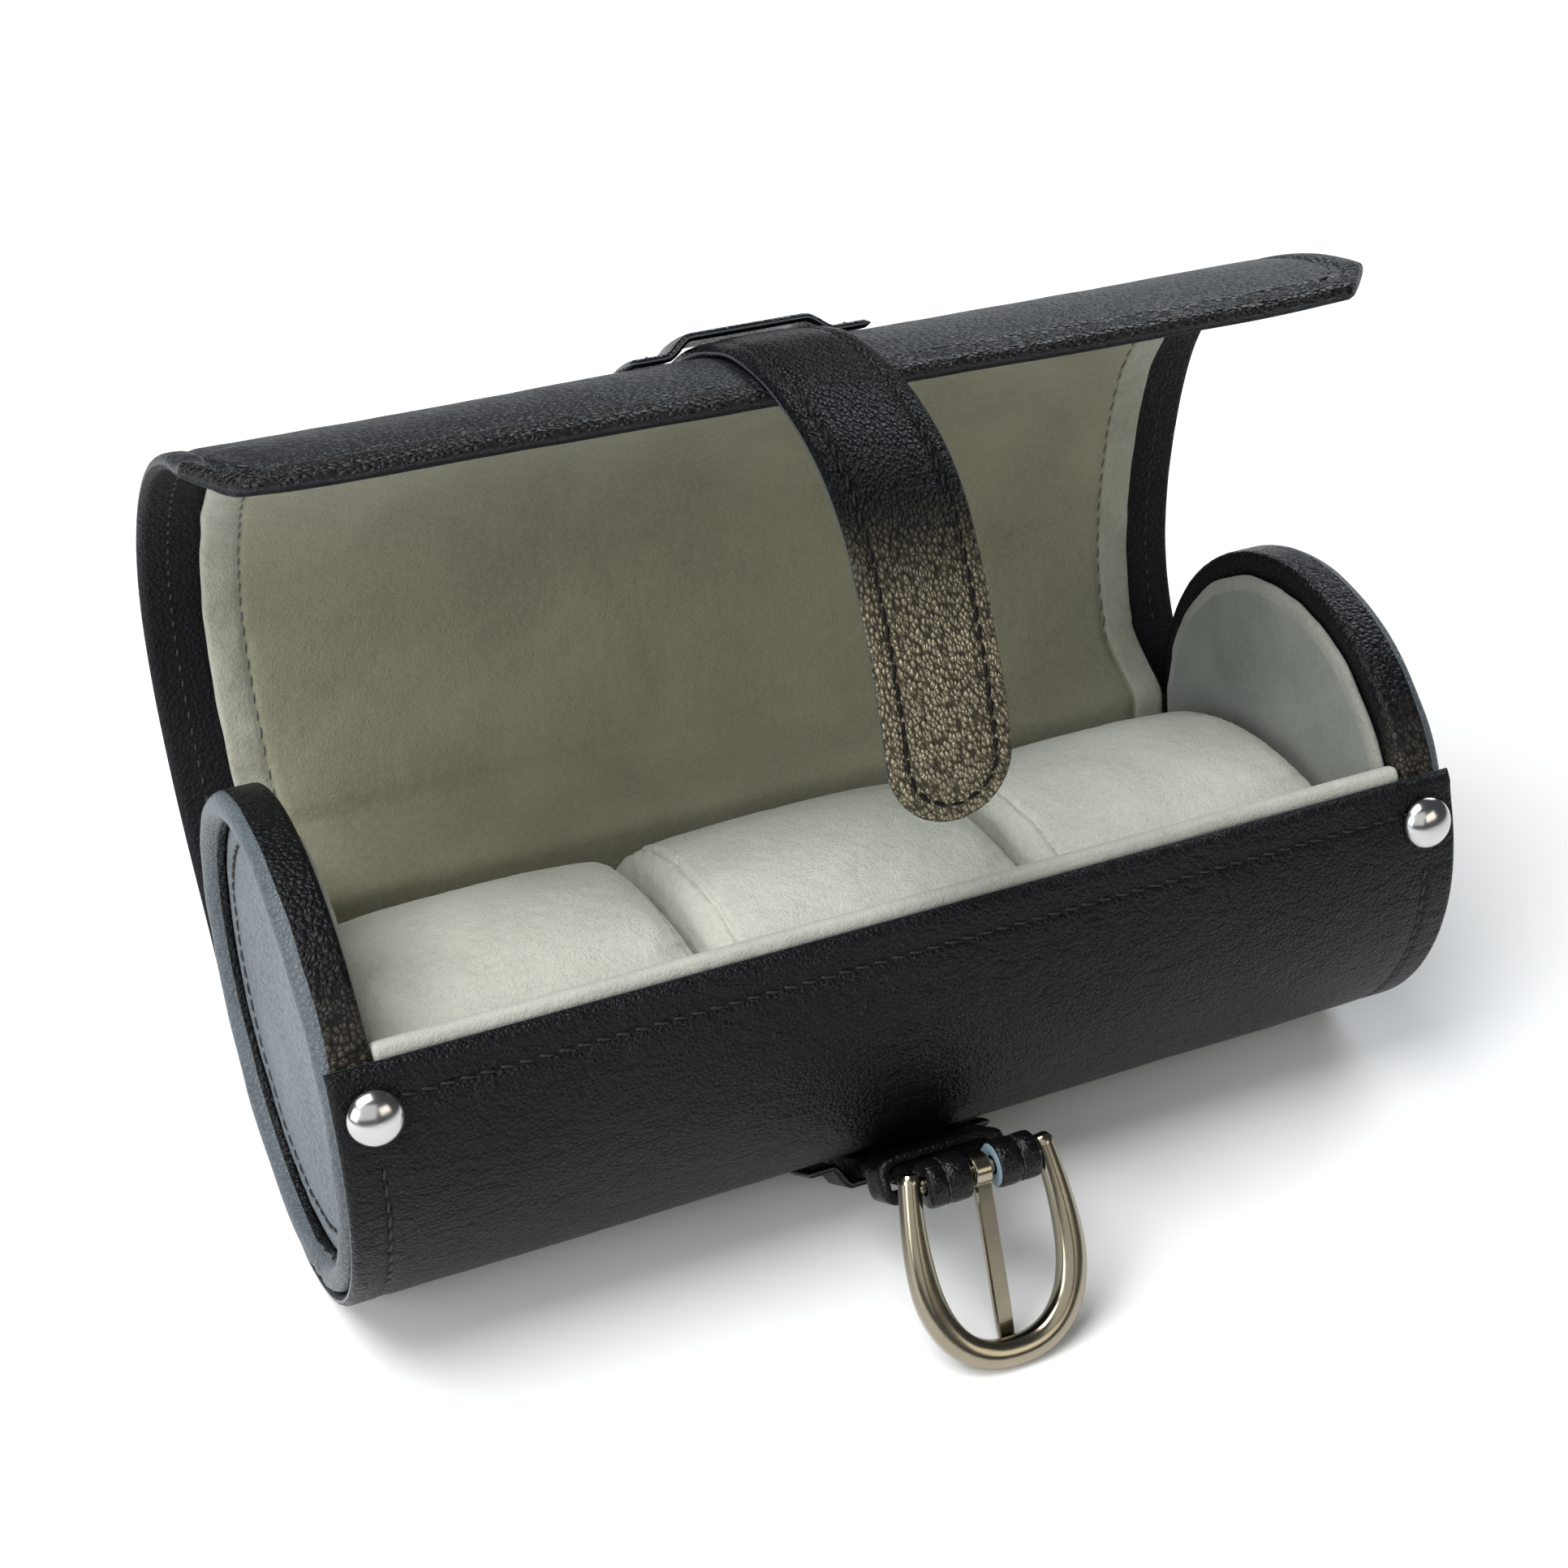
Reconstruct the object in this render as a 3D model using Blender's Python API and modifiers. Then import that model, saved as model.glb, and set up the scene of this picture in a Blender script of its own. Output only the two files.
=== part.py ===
"""A cylindrical travel roll for three watches or bracelets, standing open on a table.

Frame: +Z up, X along the tube, the front is -Y. The origin is the middle of the
small flat on the tube's underside. Lengths are in metres.
"""
import math

import bmesh
import bpy
from mathutils import Matrix, Vector

# ---- driving dimensions -------------------------------------------------------
MM = 0.001
GAP = 0.3 * MM                   # clearance that touching pieces keep

HALF_LENGTH = 100 * MM           # the tube is 200 mm long
TUBE_RADIUS = 44.4 * MM          # outside of the leather wrap
AXIS_Z = 44.0 * MM               # tube axis above the base flat
WRAP_THICK = 2.0 * MM
BOARD_THICK = 2.6 * MM
LINING_THICK = 1.0 * MM
FRONT_EDGE_DEG = 31.0            # front edge of the case, above the horizontal
BACK_EDGE_DEG = 188.0            # back edge of the case, past the horizontal
BOTTOM_DEG = -90.0

CAP_RADIUS = TUBE_RADIUS - WRAP_THICK - GAP
CAP_INNER_X = 92.0 * MM
CAP_BAND = 1.0 * MM
CAP_PANEL_X = 97.4 * MM
RIM_WIDTH = 5.0 * MM
DISC_RADIUS = 37.8 * MM
DISC_X = (90.5 * MM, 91.7 * MM)

RIVET_X = 93.8 * MM
RIVET_DEG = 20.5
RIVET_RADIUS = 4.5 * MM
RIVET_HEIGHT = 2.7 * MM
RIVET_POST = 1.1 * MM

PILLOW_COUNT = 3
PILLOW_SPAN = 90.0 * MM          # half the length that the three pillows fill
PILLOW_GAP = 0.7 * MM
PILLOW_RADIUS = 36.8 * MM
PILLOW_FRONT_DEG = 10.0
PILLOW_BACK_DEG = 198.0
PILLOW_CROWN = 15.0 * MM

LID_THICK = 2.4 * MM
LID_HINGE = (47.0 * MM, AXIS_Z - 5.0 * MM)
LID_HEADING = 131.5              # degrees from forwards, towards up
LID_LENGTHS = (45.5 * MM, 47.8 * MM, 47.4 * MM)
LID_TURNS = (42.0, 45.0, 45.0)
LID_NAMES = ("back", "top", "front")
LID_JOINT_GAP = 0.6 * MM         # half the slit between two lid sections
LID_MARGIN = 10.0 * MM           # leather border beside the velvet

STRAP_WIDTH = 21.0 * MM
STRAP_THICK = 2.0 * MM
STRAP_REAR_START = 18.0 * MM     # where the strap's sewn end lies on the lid
NOSE_LENGTH = 16.0 * MM
NOSE_TURN = 20.0
TONGUE_ARCS = ((20.0 * MM, 36.0), (42.0 * MM, 20.0))

KEEPER_AT = 12.0 * MM            # along the lid's front section
KEEPER_WIDTH = 10.0 * MM
KEEPER_SPAN = 42.0 * MM
KEEPER_THICK = 1.4 * MM

LOWER_KEEPER_SPAN = 35.0 * MM    # the loop that holds the billet's sewn end
BILLET_DEG = -54.0               # where the billet leaves the case
BILLET_HEADING = 35.0
BILLET_THICK = 3.4 * MM
BILLET_WIDTH = 19.0 * MM
BILLET_ROOT = 8.0 * MM           # sewn end of the billet, up to its bend
BAR_AT = 38.5 * MM               # buckle bar along the billet
BAR_RADIUS = 1.3 * MM
ROLL_RADIUS = 4.0 * MM
SLOT_HALF = 2.5 * MM             # slot in the roll for the prong

FRAME_HEADING = -58.5
FRAME_WIRE = 2.0 * MM
FRAME_HALF_TOP = 12.0 * MM
FRAME_HALF_WIDE = 13.5 * MM
FRAME_WIDE_AT = 13.0 * MM
FRAME_LENGTH = 30.9 * MM         # bar to the wire's middle at the tip
FRAME_HEAD = 1.4 * MM            # how far the posts run past the bar
PRONG_WIDTH = 3.0 * MM
PRONG_THICK = 1.7 * MM


# ---- scene and materials ------------------------------------------------------
for old in list(bpy.data.objects):
    bpy.data.objects.remove(old, do_unlink=True)

parts = bpy.data.collections.new("watch_roll")
cutters = bpy.data.collections.new("cutters")
bpy.context.scene.collection.children.link(parts)
bpy.context.scene.collection.children.link(cutters)

BLACK_LEATHER = ((0.022, 0.023, 0.026), 0.50, 0.0)
PANEL_LEATHER = ((0.045, 0.050, 0.058), 0.42, 0.0)
LID_VELVET = ((0.180, 0.170, 0.130), 0.95, 0.0)
PALE_SUEDE = ((0.480, 0.490, 0.440), 0.95, 0.0)
BOARD = ((0.100, 0.090, 0.075), 0.90, 0.0)
CHROME = ((0.800, 0.800, 0.810), 0.08, 1.0)
GUNMETAL = ((0.300, 0.270, 0.210), 0.18, 1.0)


def give_material(obj, finish):
    colour, roughness, metallic = finish
    material = bpy.data.materials.new(obj.name)
    material.use_nodes = True
    shader = material.node_tree.nodes["Principled BSDF"]
    shader.inputs["Base Color"].default_value = (*colour, 1.0)
    shader.inputs["Roughness"].default_value = roughness
    shader.inputs["Metallic"].default_value = metallic
    obj.data.materials.clear()
    obj.data.materials.append(material)


def add_object(name, mesh, finish, matrix=None):
    """Link a part; a piece without a finish is a cutter."""
    obj = bpy.data.objects.new(name, mesh)
    if finish is None:
        cutters.objects.link(obj)
        obj.hide_render = True
        obj.display_type = "WIRE"
    else:
        parts.objects.link(obj)
        give_material(obj, finish)
    if matrix is not None:
        obj.matrix_world = matrix
    return obj


# ---- side-view geometry: points are (y, z) ------------------------------------
def around(radius, degrees):
    """A point round the tube's axis; 0 degrees is the front, 90 the top."""
    angle = math.radians(degrees)
    return (-radius * math.cos(angle), AXIS_Z + radius * math.sin(angle))


def arc(radius, start, end, steps):
    return [around(radius, start + (end - start) * i / steps) for i in range(steps + 1)]


def direction(heading):
    """Unit vector of a heading, in degrees from forwards (-Y) towards up."""
    angle = math.radians(heading)
    return Vector((-math.cos(angle), math.sin(angle)))


def outward(heading):
    """Unit vector square to a heading, on the outer side of the lid."""
    angle = math.radians(heading)
    return Vector((math.sin(angle), math.cos(angle)))


def walk(start, heading, length, turn, distance):
    """Point and heading after a distance along a curve that turns evenly."""
    now = heading - turn * distance / length
    middle = math.radians((heading - now) / 2)
    chord = distance * (math.sin(middle) / middle if middle else 1.0)
    return Vector(start) + direction((heading + now) / 2) * chord, now


def strip_outline(start, heading, length, turn, first, last, inner, outer, steps):
    """Closed outline of a curved strip between two offsets from its path."""
    low, high = [], []
    for i in range(steps + 1):
        point, now = walk(start, heading, length, turn, first + (last - first) * i / steps)
        low.append(point + outward(now) * inner)
        high.append(point + outward(now) * outer)
    return low + high[::-1]


# ---- solids -------------------------------------------------------------------
def mesh_from_curve(curve, merge):
    """The curve's surface as a welded mesh with its faces looking outwards."""
    draft = bpy.data.objects.new("draft", curve)
    parts.objects.link(draft)
    bpy.context.view_layer.update()
    graph = bpy.context.evaluated_depsgraph_get()
    mesh = bpy.data.meshes.new_from_object(draft.evaluated_get(graph))
    bpy.data.objects.remove(draft)
    form = bmesh.new()
    form.from_mesh(mesh)
    bmesh.ops.remove_doubles(form, verts=form.verts, dist=merge)
    bmesh.ops.recalc_face_normals(form, faces=form.faces)
    form.to_mesh(mesh)
    form.free()
    return mesh


def prism(name, outline, start, end, finish, holes=(), matrix=None):
    """Extrude an outline along X, or along the matrix's own third axis."""
    curve = bpy.data.curves.new(name, "CURVE")
    curve.dimensions = "2D"
    curve.fill_mode = "BOTH"
    curve.extrude = (end - start) / 2
    for ring in (outline, *holes):
        spline = curve.splines.new("POLY")
        spline.points.add(len(ring) - 1)
        for point, place in zip(spline.points, ring):
            point.co = (place[0], place[1], 0.0, 1.0)
        spline.use_cyclic_u = True
    mesh = mesh_from_curve(curve, 0.02 * MM)
    mesh.transform(Matrix.Translation((0, 0, (start + end) / 2)))
    if matrix is None:
        # the outline's axes become Y and Z, and the extrusion runs along X
        matrix = Matrix(((0, 0, 1, 0), (1, 0, 0, 0), (0, 1, 0, 0), (0, 0, 0, 1)))
    return add_object(name, mesh, finish, matrix)


def lathe(name, profile, matrix, finish, steps):
    """Turn a (radius, height) profile about the matrix's third axis."""
    mesh = bpy.data.meshes.new(name)
    form = bmesh.new()
    rows = [form.verts.new((radius, 0.0, height)) for radius, height in profile]
    for first, second in zip(rows, rows[1:]):
        form.edges.new((first, second))
    form.to_mesh(mesh)
    form.free()
    obj = add_object(name, mesh, finish, matrix)
    screw = obj.modifiers.new("Turn", "SCREW")
    screw.angle = 2 * math.pi
    screw.steps = steps
    screw.render_steps = steps
    screw.use_merge_vertices = True
    screw.merge_threshold = 0.01 * MM
    return obj


def turned(name, profile, side, finish):
    """Turn a (radius, x) profile about the tube's axis, at one end of the tube."""
    turn = math.pi / 2 if side > 0 else -math.pi / 2
    matrix = Matrix.Translation((0, 0, AXIS_Z)) @ Matrix.Rotation(turn, 4, "Y")
    return lathe(name, profile, matrix, finish, 48)


def cut(obj, cutter, operation="DIFFERENCE"):
    modifier = obj.modifiers.new("Cut", "BOOLEAN")
    modifier.operation = operation
    modifier.object = cutter
    modifier.solver = "EXACT"


def cylinder(name, radius, depth, matrix, finish, segments=24):
    mesh = bpy.data.meshes.new(name)
    form = bmesh.new()
    bmesh.ops.create_cone(form, cap_ends=True, segments=segments, radius1=radius,
                          radius2=radius, depth=depth)
    form.to_mesh(mesh)
    form.free()
    return add_object(name, mesh, finish, matrix)


def box(name, low, high, finish, matrix=None):
    mesh = bpy.data.meshes.new(name)
    form = bmesh.new()
    bmesh.ops.create_cube(form, size=1.0)
    size = Vector(high) - Vector(low)
    bmesh.ops.scale(form, vec=size, verts=form.verts)
    bmesh.ops.translate(form, vec=(Vector(low) + Vector(high)) / 2, verts=form.verts)
    form.to_mesh(mesh)
    form.free()
    return add_object(name, mesh, finish, matrix)


def bevel(obj, width, segments=2, angle=50):
    modifier = obj.modifiers.new("Round", "BEVEL")
    modifier.width = width
    modifier.segments = segments
    modifier.limit_method = "ANGLE"
    modifier.angle_limit = math.radians(angle)


def strip_frame(point, heading):
    """Frame whose first axis is X, second is outward and third is against the heading."""
    out, ahead = outward(heading), direction(heading)
    return Matrix(((1, 0, 0, 0),
                   (0, out.x, -ahead.x, point[0]),
                   (0, out.y, -ahead.y, point[1]),
                   (0, 0, 0, 1)))


# ---- the case -----------------------------------------------------------------
def build_case():
    wrap_inner = TUBE_RADIUS - WRAP_THICK
    board_outer = wrap_inner - GAP
    board_inner = board_outer - BOARD_THICK
    lining_outer = board_inner - GAP
    lining_inner = lining_outer - LINING_THICK

    # the flat that the tube stands on takes the place of the arc's lowest stretch
    flat_half = math.degrees(math.acos(AXIS_Z / TUBE_RADIUS))
    outer = (arc(TUBE_RADIUS, FRONT_EDGE_DEG, BOTTOM_DEG + flat_half, 22)
             + arc(TUBE_RADIUS, BOTTOM_DEG - flat_half, BACK_EDGE_DEG - 360, 15))
    inner = arc(wrap_inner, BACK_EDGE_DEG - 360, FRONT_EDGE_DEG, 36)
    wrap = prism("case_wrap", outer + inner, -HALF_LENGTH, HALF_LENGTH, BLACK_LEATHER)

    board_half = CAP_INNER_X - GAP
    span = (FRONT_EDGE_DEG - 1.0, BACK_EDGE_DEG - 360)
    prism("trough_board",
          arc(board_outer, *span, 36) + arc(board_inner, *span[::-1], 36),
          -board_half, board_half, BOARD)
    lining_half = DISC_X[0] - GAP
    prism("trough_lining",
          arc(lining_outer, *span, 36) + arc(lining_inner, *span[::-1], 36),
          -lining_half, lining_half, PALE_SUEDE)
    # a velvet welt covers the board's front edge, between the leather and the lining
    welt = (FRONT_EDGE_DEG - 0.6, FRONT_EDGE_DEG + 0.9)
    prism("front_welt",
          arc(board_outer, *welt, 2) + arc(lining_inner, *welt[::-1], 2),
          -lining_half, lining_half, PALE_SUEDE)
    return wrap


def build_cap(side, word):
    """A round end: board core, leather band with a rolled rim, panel and velvet disc."""
    core_radius = CAP_RADIUS - CAP_BAND - GAP
    core = turned(f"cap_core_{word}",
                  [(0, CAP_PANEL_X - 1.1 * MM - GAP), (core_radius, CAP_PANEL_X - 1.1 * MM - GAP),
                   (core_radius, CAP_INNER_X), (0, CAP_INNER_X)], side, BOARD)
    rim_in = CAP_RADIUS - RIM_WIDTH
    rim_floor = CAP_PANEL_X - 1.1 * MM
    turned(f"cap_band_{word}",
           [(rim_in, rim_floor), (rim_in, HALF_LENGTH - 1.4 * MM),
            (rim_in + 0.5 * MM, HALF_LENGTH - 0.5 * MM), (rim_in + 1.5 * MM, HALF_LENGTH),
            (CAP_RADIUS - 1.5 * MM, HALF_LENGTH), (CAP_RADIUS - 0.5 * MM, HALF_LENGTH - 0.5 * MM),
            (CAP_RADIUS, HALF_LENGTH - 1.4 * MM), (CAP_RADIUS, CAP_INNER_X),
            (CAP_RADIUS - CAP_BAND, CAP_INNER_X), (CAP_RADIUS - CAP_BAND, rim_floor),
            (rim_in, rim_floor)], side, BLACK_LEATHER)
    turned(f"cap_panel_{word}",
           [(0, CAP_PANEL_X), (rim_in - GAP - 0.4 * MM, CAP_PANEL_X),
            (rim_in - GAP, CAP_PANEL_X - 0.4 * MM), (rim_in - GAP, rim_floor), (0, rim_floor)],
           side, PANEL_LEATHER)
    turned(f"cap_disc_{word}",
           [(0, DISC_X[1]), (DISC_RADIUS, DISC_X[1]), (DISC_RADIUS, DISC_X[0] + 0.5 * MM),
            (DISC_RADIUS - 0.5 * MM, DISC_X[0]), (0, DISC_X[0])], side, PALE_SUEDE)
    return core


def build_rivet(side, word, pieces):
    """Domed rivet: its post goes through the wrap and the band into the core."""
    radial = Matrix.Rotation(math.radians(90 - RIVET_DEG), 4, "X")
    y, z = around(TUBE_RADIUS + GAP, RIVET_DEG)
    place = Matrix.Translation((side * RIVET_X, y, z)) @ radial
    dome_steps = 5
    depth = 7.0 * MM
    profile = [(0.0, RIVET_HEIGHT)]
    for i in range(1, dome_steps + 1):
        angle = math.pi / 2 * i / dome_steps
        profile.append((RIVET_RADIUS * math.sin(angle), RIVET_HEIGHT * math.cos(angle)))
    profile += [(RIVET_POST, 0.0), (RIVET_POST, -depth), (0.0, -depth)]
    lathe(f"rivet_{word}", profile, place, CHROME, 24)
    bore = cylinder(f"bore_{word}", RIVET_POST + GAP, 20 * MM,
                    place @ Matrix.Translation((0, 0, 1.5 * MM)), None)
    for piece in pieces:
        cut(piece, bore)


def build_pillows():
    """Three plump pillows, round below to sit in the trough and crowned above."""
    front, back = around(PILLOW_RADIUS, PILLOW_FRONT_DEG), around(PILLOW_RADIUS, PILLOW_BACK_DEG)
    below = arc(PILLOW_RADIUS, PILLOW_BACK_DEG - 360, PILLOW_FRONT_DEG, 16)
    chord = Vector(back) - Vector(front)
    square = Vector((-chord.y, chord.x)).normalized()
    steps = 10
    above = [Vector(front) + chord * i / steps
             + square * PILLOW_CROWN * (1 - (2 * i / steps - 1) ** 2) for i in range(1, steps)]
    width = (2 * PILLOW_SPAN - (PILLOW_COUNT - 1) * PILLOW_GAP) / PILLOW_COUNT
    for number in range(PILLOW_COUNT):
        start = -PILLOW_SPAN + number * (width + PILLOW_GAP)
        pillow = prism(f"pillow_{number + 1}", below + above, start, start + width, PALE_SUEDE)
        bevel(pillow, 4.0 * MM, 2, 60)


# ---- the lid ------------------------------------------------------------------
def lid_sections():
    """Start point and heading of each lid section, then of the lid's front edge."""
    point, heading = Vector(LID_HINGE), LID_HEADING
    places = [(point, heading)]
    for length, turn in zip(LID_LENGTHS, LID_TURNS):
        point, heading = walk(point, heading, length, turn, length)
        places.append((point, heading))
    return places


def build_lid(places):
    """Three curved leather sections with velvet linings, parted at the bends."""
    lining_half = HALF_LENGTH - LID_MARGIN
    for number, (word, length, turn) in enumerate(zip(LID_NAMES, LID_LENGTHS, LID_TURNS)):
        start, heading = places[number]
        first = LID_JOINT_GAP + (1.2 * MM if number == 0 else 0)
        last = length - (LID_JOINT_GAP if number < 2 else 0)
        shell = strip_outline(start, heading, length, turn, first, last,
                              -LID_THICK / 2, LID_THICK / 2, 10)
        prism(f"lid_{word}", shell, -HALF_LENGTH, HALF_LENGTH, BLACK_LEATHER)
        velvet_top = -LID_THICK / 2 - GAP
        # the lining is narrower than the shell, so that its ends clear at each bend
        velvet = strip_outline(start, heading, length, turn, first + 0.8 * MM,
                               last - (0.8 * MM if number < 2 else LID_MARGIN / 2),
                               velvet_top - LINING_THICK, velvet_top, 10)
        prism(f"lid_lining_{word}", velvet, -lining_half, lining_half, LID_VELVET)


def strap_offset():
    return LID_THICK / 2 + GAP + STRAP_THICK / 2


def along_arcs(point, heading, arcs):
    """Points spaced about 4 mm apart along a chain of arcs, then its end and heading."""
    rows = [Vector(point)]
    for length, turn in arcs:
        steps = max(3, round(length / (4 * MM)))
        for i in range(1, steps + 1):
            rows.append(walk(point, heading, length, turn, length * i / steps)[0])
        point, heading = walk(point, heading, length, turn, length)
    return rows, point, heading


def strap_sheet(name, rows):
    """A strap segment: (place, half width) rows joined into a sheet and made solid."""
    mesh = bpy.data.meshes.new(name)
    form = bmesh.new()
    grid = [[form.verts.new((half * side, place[0], place[1])) for side in (-1, 0, 1)]
            for place, half in rows]
    for row, ahead in zip(grid, grid[1:]):
        for k in range(2):
            form.faces.new((row[k], row[k + 1], ahead[k + 1], ahead[k]))
    form.to_mesh(mesh)
    form.free()
    solid = add_object(name, mesh, BLACK_LEATHER).modifiers.new("Thickness", "SOLIDIFY")
    solid.thickness = STRAP_THICK
    solid.offset = 0.0


def build_lid_strap(places):
    """The strap's sewn run over the lid, one segment on each lid section."""
    offset = strap_offset()
    for number, (word, length, turn) in enumerate(zip(LID_NAMES, LID_LENGTHS, LID_TURNS)):
        start, heading = places[number]
        first = STRAP_REAR_START if number == 0 else LID_JOINT_GAP
        last = length - LID_JOINT_GAP
        outline = strip_outline(start, heading, length, turn, first, last,
                                offset - STRAP_THICK / 2, offset + STRAP_THICK / 2, 8)
        prism(f"strap_{word}", outline, -STRAP_WIDTH / 2, STRAP_WIDTH / 2, BLACK_LEATHER)


def build_free_strap(places):
    """The nose that bends over the lid's edge, and the hanging tongue with its round tip."""
    half = STRAP_WIDTH / 2
    edge, heading = places[-1]
    start = edge + outward(heading) * strap_offset()
    first, now = walk(start, heading, NOSE_LENGTH, NOSE_TURN, LID_JOINT_GAP)
    rows, _, _ = along_arcs(first, now, ((NOSE_LENGTH - 2 * LID_JOINT_GAP, NOSE_TURN),))
    strap_sheet("strap_nose", [(place, half) for place in rows])

    bend, now = walk(start, heading, NOSE_LENGTH, NOSE_TURN, NOSE_LENGTH)
    (length, turn), (rest, rest_turn) = TONGUE_ARCS
    first, now = walk(bend, now, length, turn, LID_JOINT_GAP)
    rows, point, now = along_arcs(first, now, ((length - LID_JOINT_GAP, turn),
                                               (rest - half, rest_turn * 0.8)))
    tongue = [(place, half) for place in rows]
    tip_steps = 6
    for i in range(1, tip_steps + 1):
        angle = math.radians(84) * i / tip_steps
        place, _ = walk(point, now, half, rest_turn * 0.2, half * math.sin(angle))
        tongue.append((place, half * math.cos(angle)))
    strap_sheet("strap_tongue", tongue)


def loop_outline(span, inside, base, rise):
    """Section of a sewn leather loop: two flat feet and an arch between them."""
    foot, shoulder = span / 2, inside + 2.2 * MM
    over = 0.4 * MM
    return [(-foot, base), (-shoulder, base), (-inside, rise), (inside, rise),
            (shoulder, base), (foot, base), (foot, base + KEEPER_THICK),
            (shoulder + over, base + KEEPER_THICK), (inside + over, rise + KEEPER_THICK),
            (-inside - over, rise + KEEPER_THICK), (-shoulder - over, base + KEEPER_THICK),
            (-foot, base + KEEPER_THICK)]


def build_keepers(places):
    """Loops sewn to the lid over the strap, and to the case over the billet's end."""
    start, heading = places[2]
    point, now = walk(start, heading, LID_LENGTHS[2], LID_TURNS[2], KEEPER_AT)
    base = LID_THICK / 2 + GAP + 0.25 * MM
    rise = LID_THICK / 2 + GAP + STRAP_THICK + 0.9 * MM
    prism("strap_keeper", loop_outline(KEEPER_SPAN, STRAP_WIDTH / 2 + 0.8 * MM, base, rise),
          -KEEPER_WIDTH / 2, KEEPER_WIDTH / 2, BLACK_LEATHER, matrix=strip_frame(point, now))
    # at this heading the outward side is the tube's own radial direction
    prism("billet_loop", loop_outline(LOWER_KEEPER_SPAN, BILLET_WIDTH / 2 + 0.8 * MM,
                                      2 * GAP, GAP + BILLET_THICK + 0.6 * MM),
          -KEEPER_WIDTH / 2, KEEPER_WIDTH / 2, BLACK_LEATHER,
          matrix=strip_frame(around(TUBE_RADIUS, BILLET_DEG), 270 + BILLET_DEG))


# ---- the buckle end -----------------------------------------------------------
def billet_start():
    radius = TUBE_RADIUS + GAP + BILLET_THICK / 2
    return Vector(around(radius, BILLET_DEG))


def bar_place():
    return billet_start() + direction(BILLET_HEADING) * BAR_AT


def build_billet():
    """Sewn root, the billet with its end rolled round the bar, and its keeper loop."""
    start = billet_start()
    half = BILLET_THICK / 2
    ahead, out = direction(BILLET_HEADING), outward(BILLET_HEADING)

    def at(along, up):
        return start + ahead * along + out * up

    root = [at(-7 * MM, -half), at(BILLET_ROOT - GAP, -half),
            at(BILLET_ROOT - GAP, half), at(-7 * MM, half)]
    prism("billet_root", root, -BILLET_WIDTH / 2, BILLET_WIDTH / 2, BLACK_LEATHER)

    meet = math.asin(half / ROLL_RADIUS)
    roll_steps = 20
    outline = [at(BILLET_ROOT + GAP, -half)]
    for i in range(roll_steps + 1):
        angle = math.pi + meet + (2 * math.pi - 2 * meet) * i / roll_steps
        outline.append(at(BAR_AT + ROLL_RADIUS * math.cos(angle), ROLL_RADIUS * math.sin(angle)))
    outline.append(at(BILLET_ROOT + GAP, half))
    bore_radius = BAR_RADIUS + GAP
    bore = [at(BAR_AT + bore_radius * math.cos(2 * math.pi * i / 20),
               bore_radius * math.sin(2 * math.pi * i / 20)) for i in range(20)]
    billet = prism("billet", outline, -BILLET_WIDTH / 2, BILLET_WIDTH / 2, BLACK_LEATHER,
                   holes=(bore,))
    middle = at(BAR_AT, 0)
    slot = box("prong_slot", (-SLOT_HALF, -6.5 * MM, -6.5 * MM), (SLOT_HALF, 6.5 * MM, 6.5 * MM),
               None, Matrix.Translation((0, middle[0], middle[1]))
               @ Matrix.Rotation(math.radians(-BILLET_HEADING), 4, "X"))
    cut(billet, slot)

    # the loop hangs a little below the billet, where the strap's tip would tuck in
    point = at(20.5 * MM, -0.8 * MM)
    inner = (BILLET_WIDTH / 2 + 0.8 * MM, half + 1.2 * MM)
    wall = 1.4 * MM
    corners = ((-1, -1), (1, -1), (1, 1), (-1, 1))
    ring = [(sx * (inner[0] + wall), sy * (inner[1] + wall)) for sx, sy in corners]
    hole = [(sx * inner[0], sy * inner[1]) for sx, sy in corners]
    prism("billet_keeper", ring, -4.0 * MM, 4.0 * MM, BLACK_LEATHER, holes=(hole,),
          matrix=strip_frame(point, BILLET_HEADING))


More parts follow.
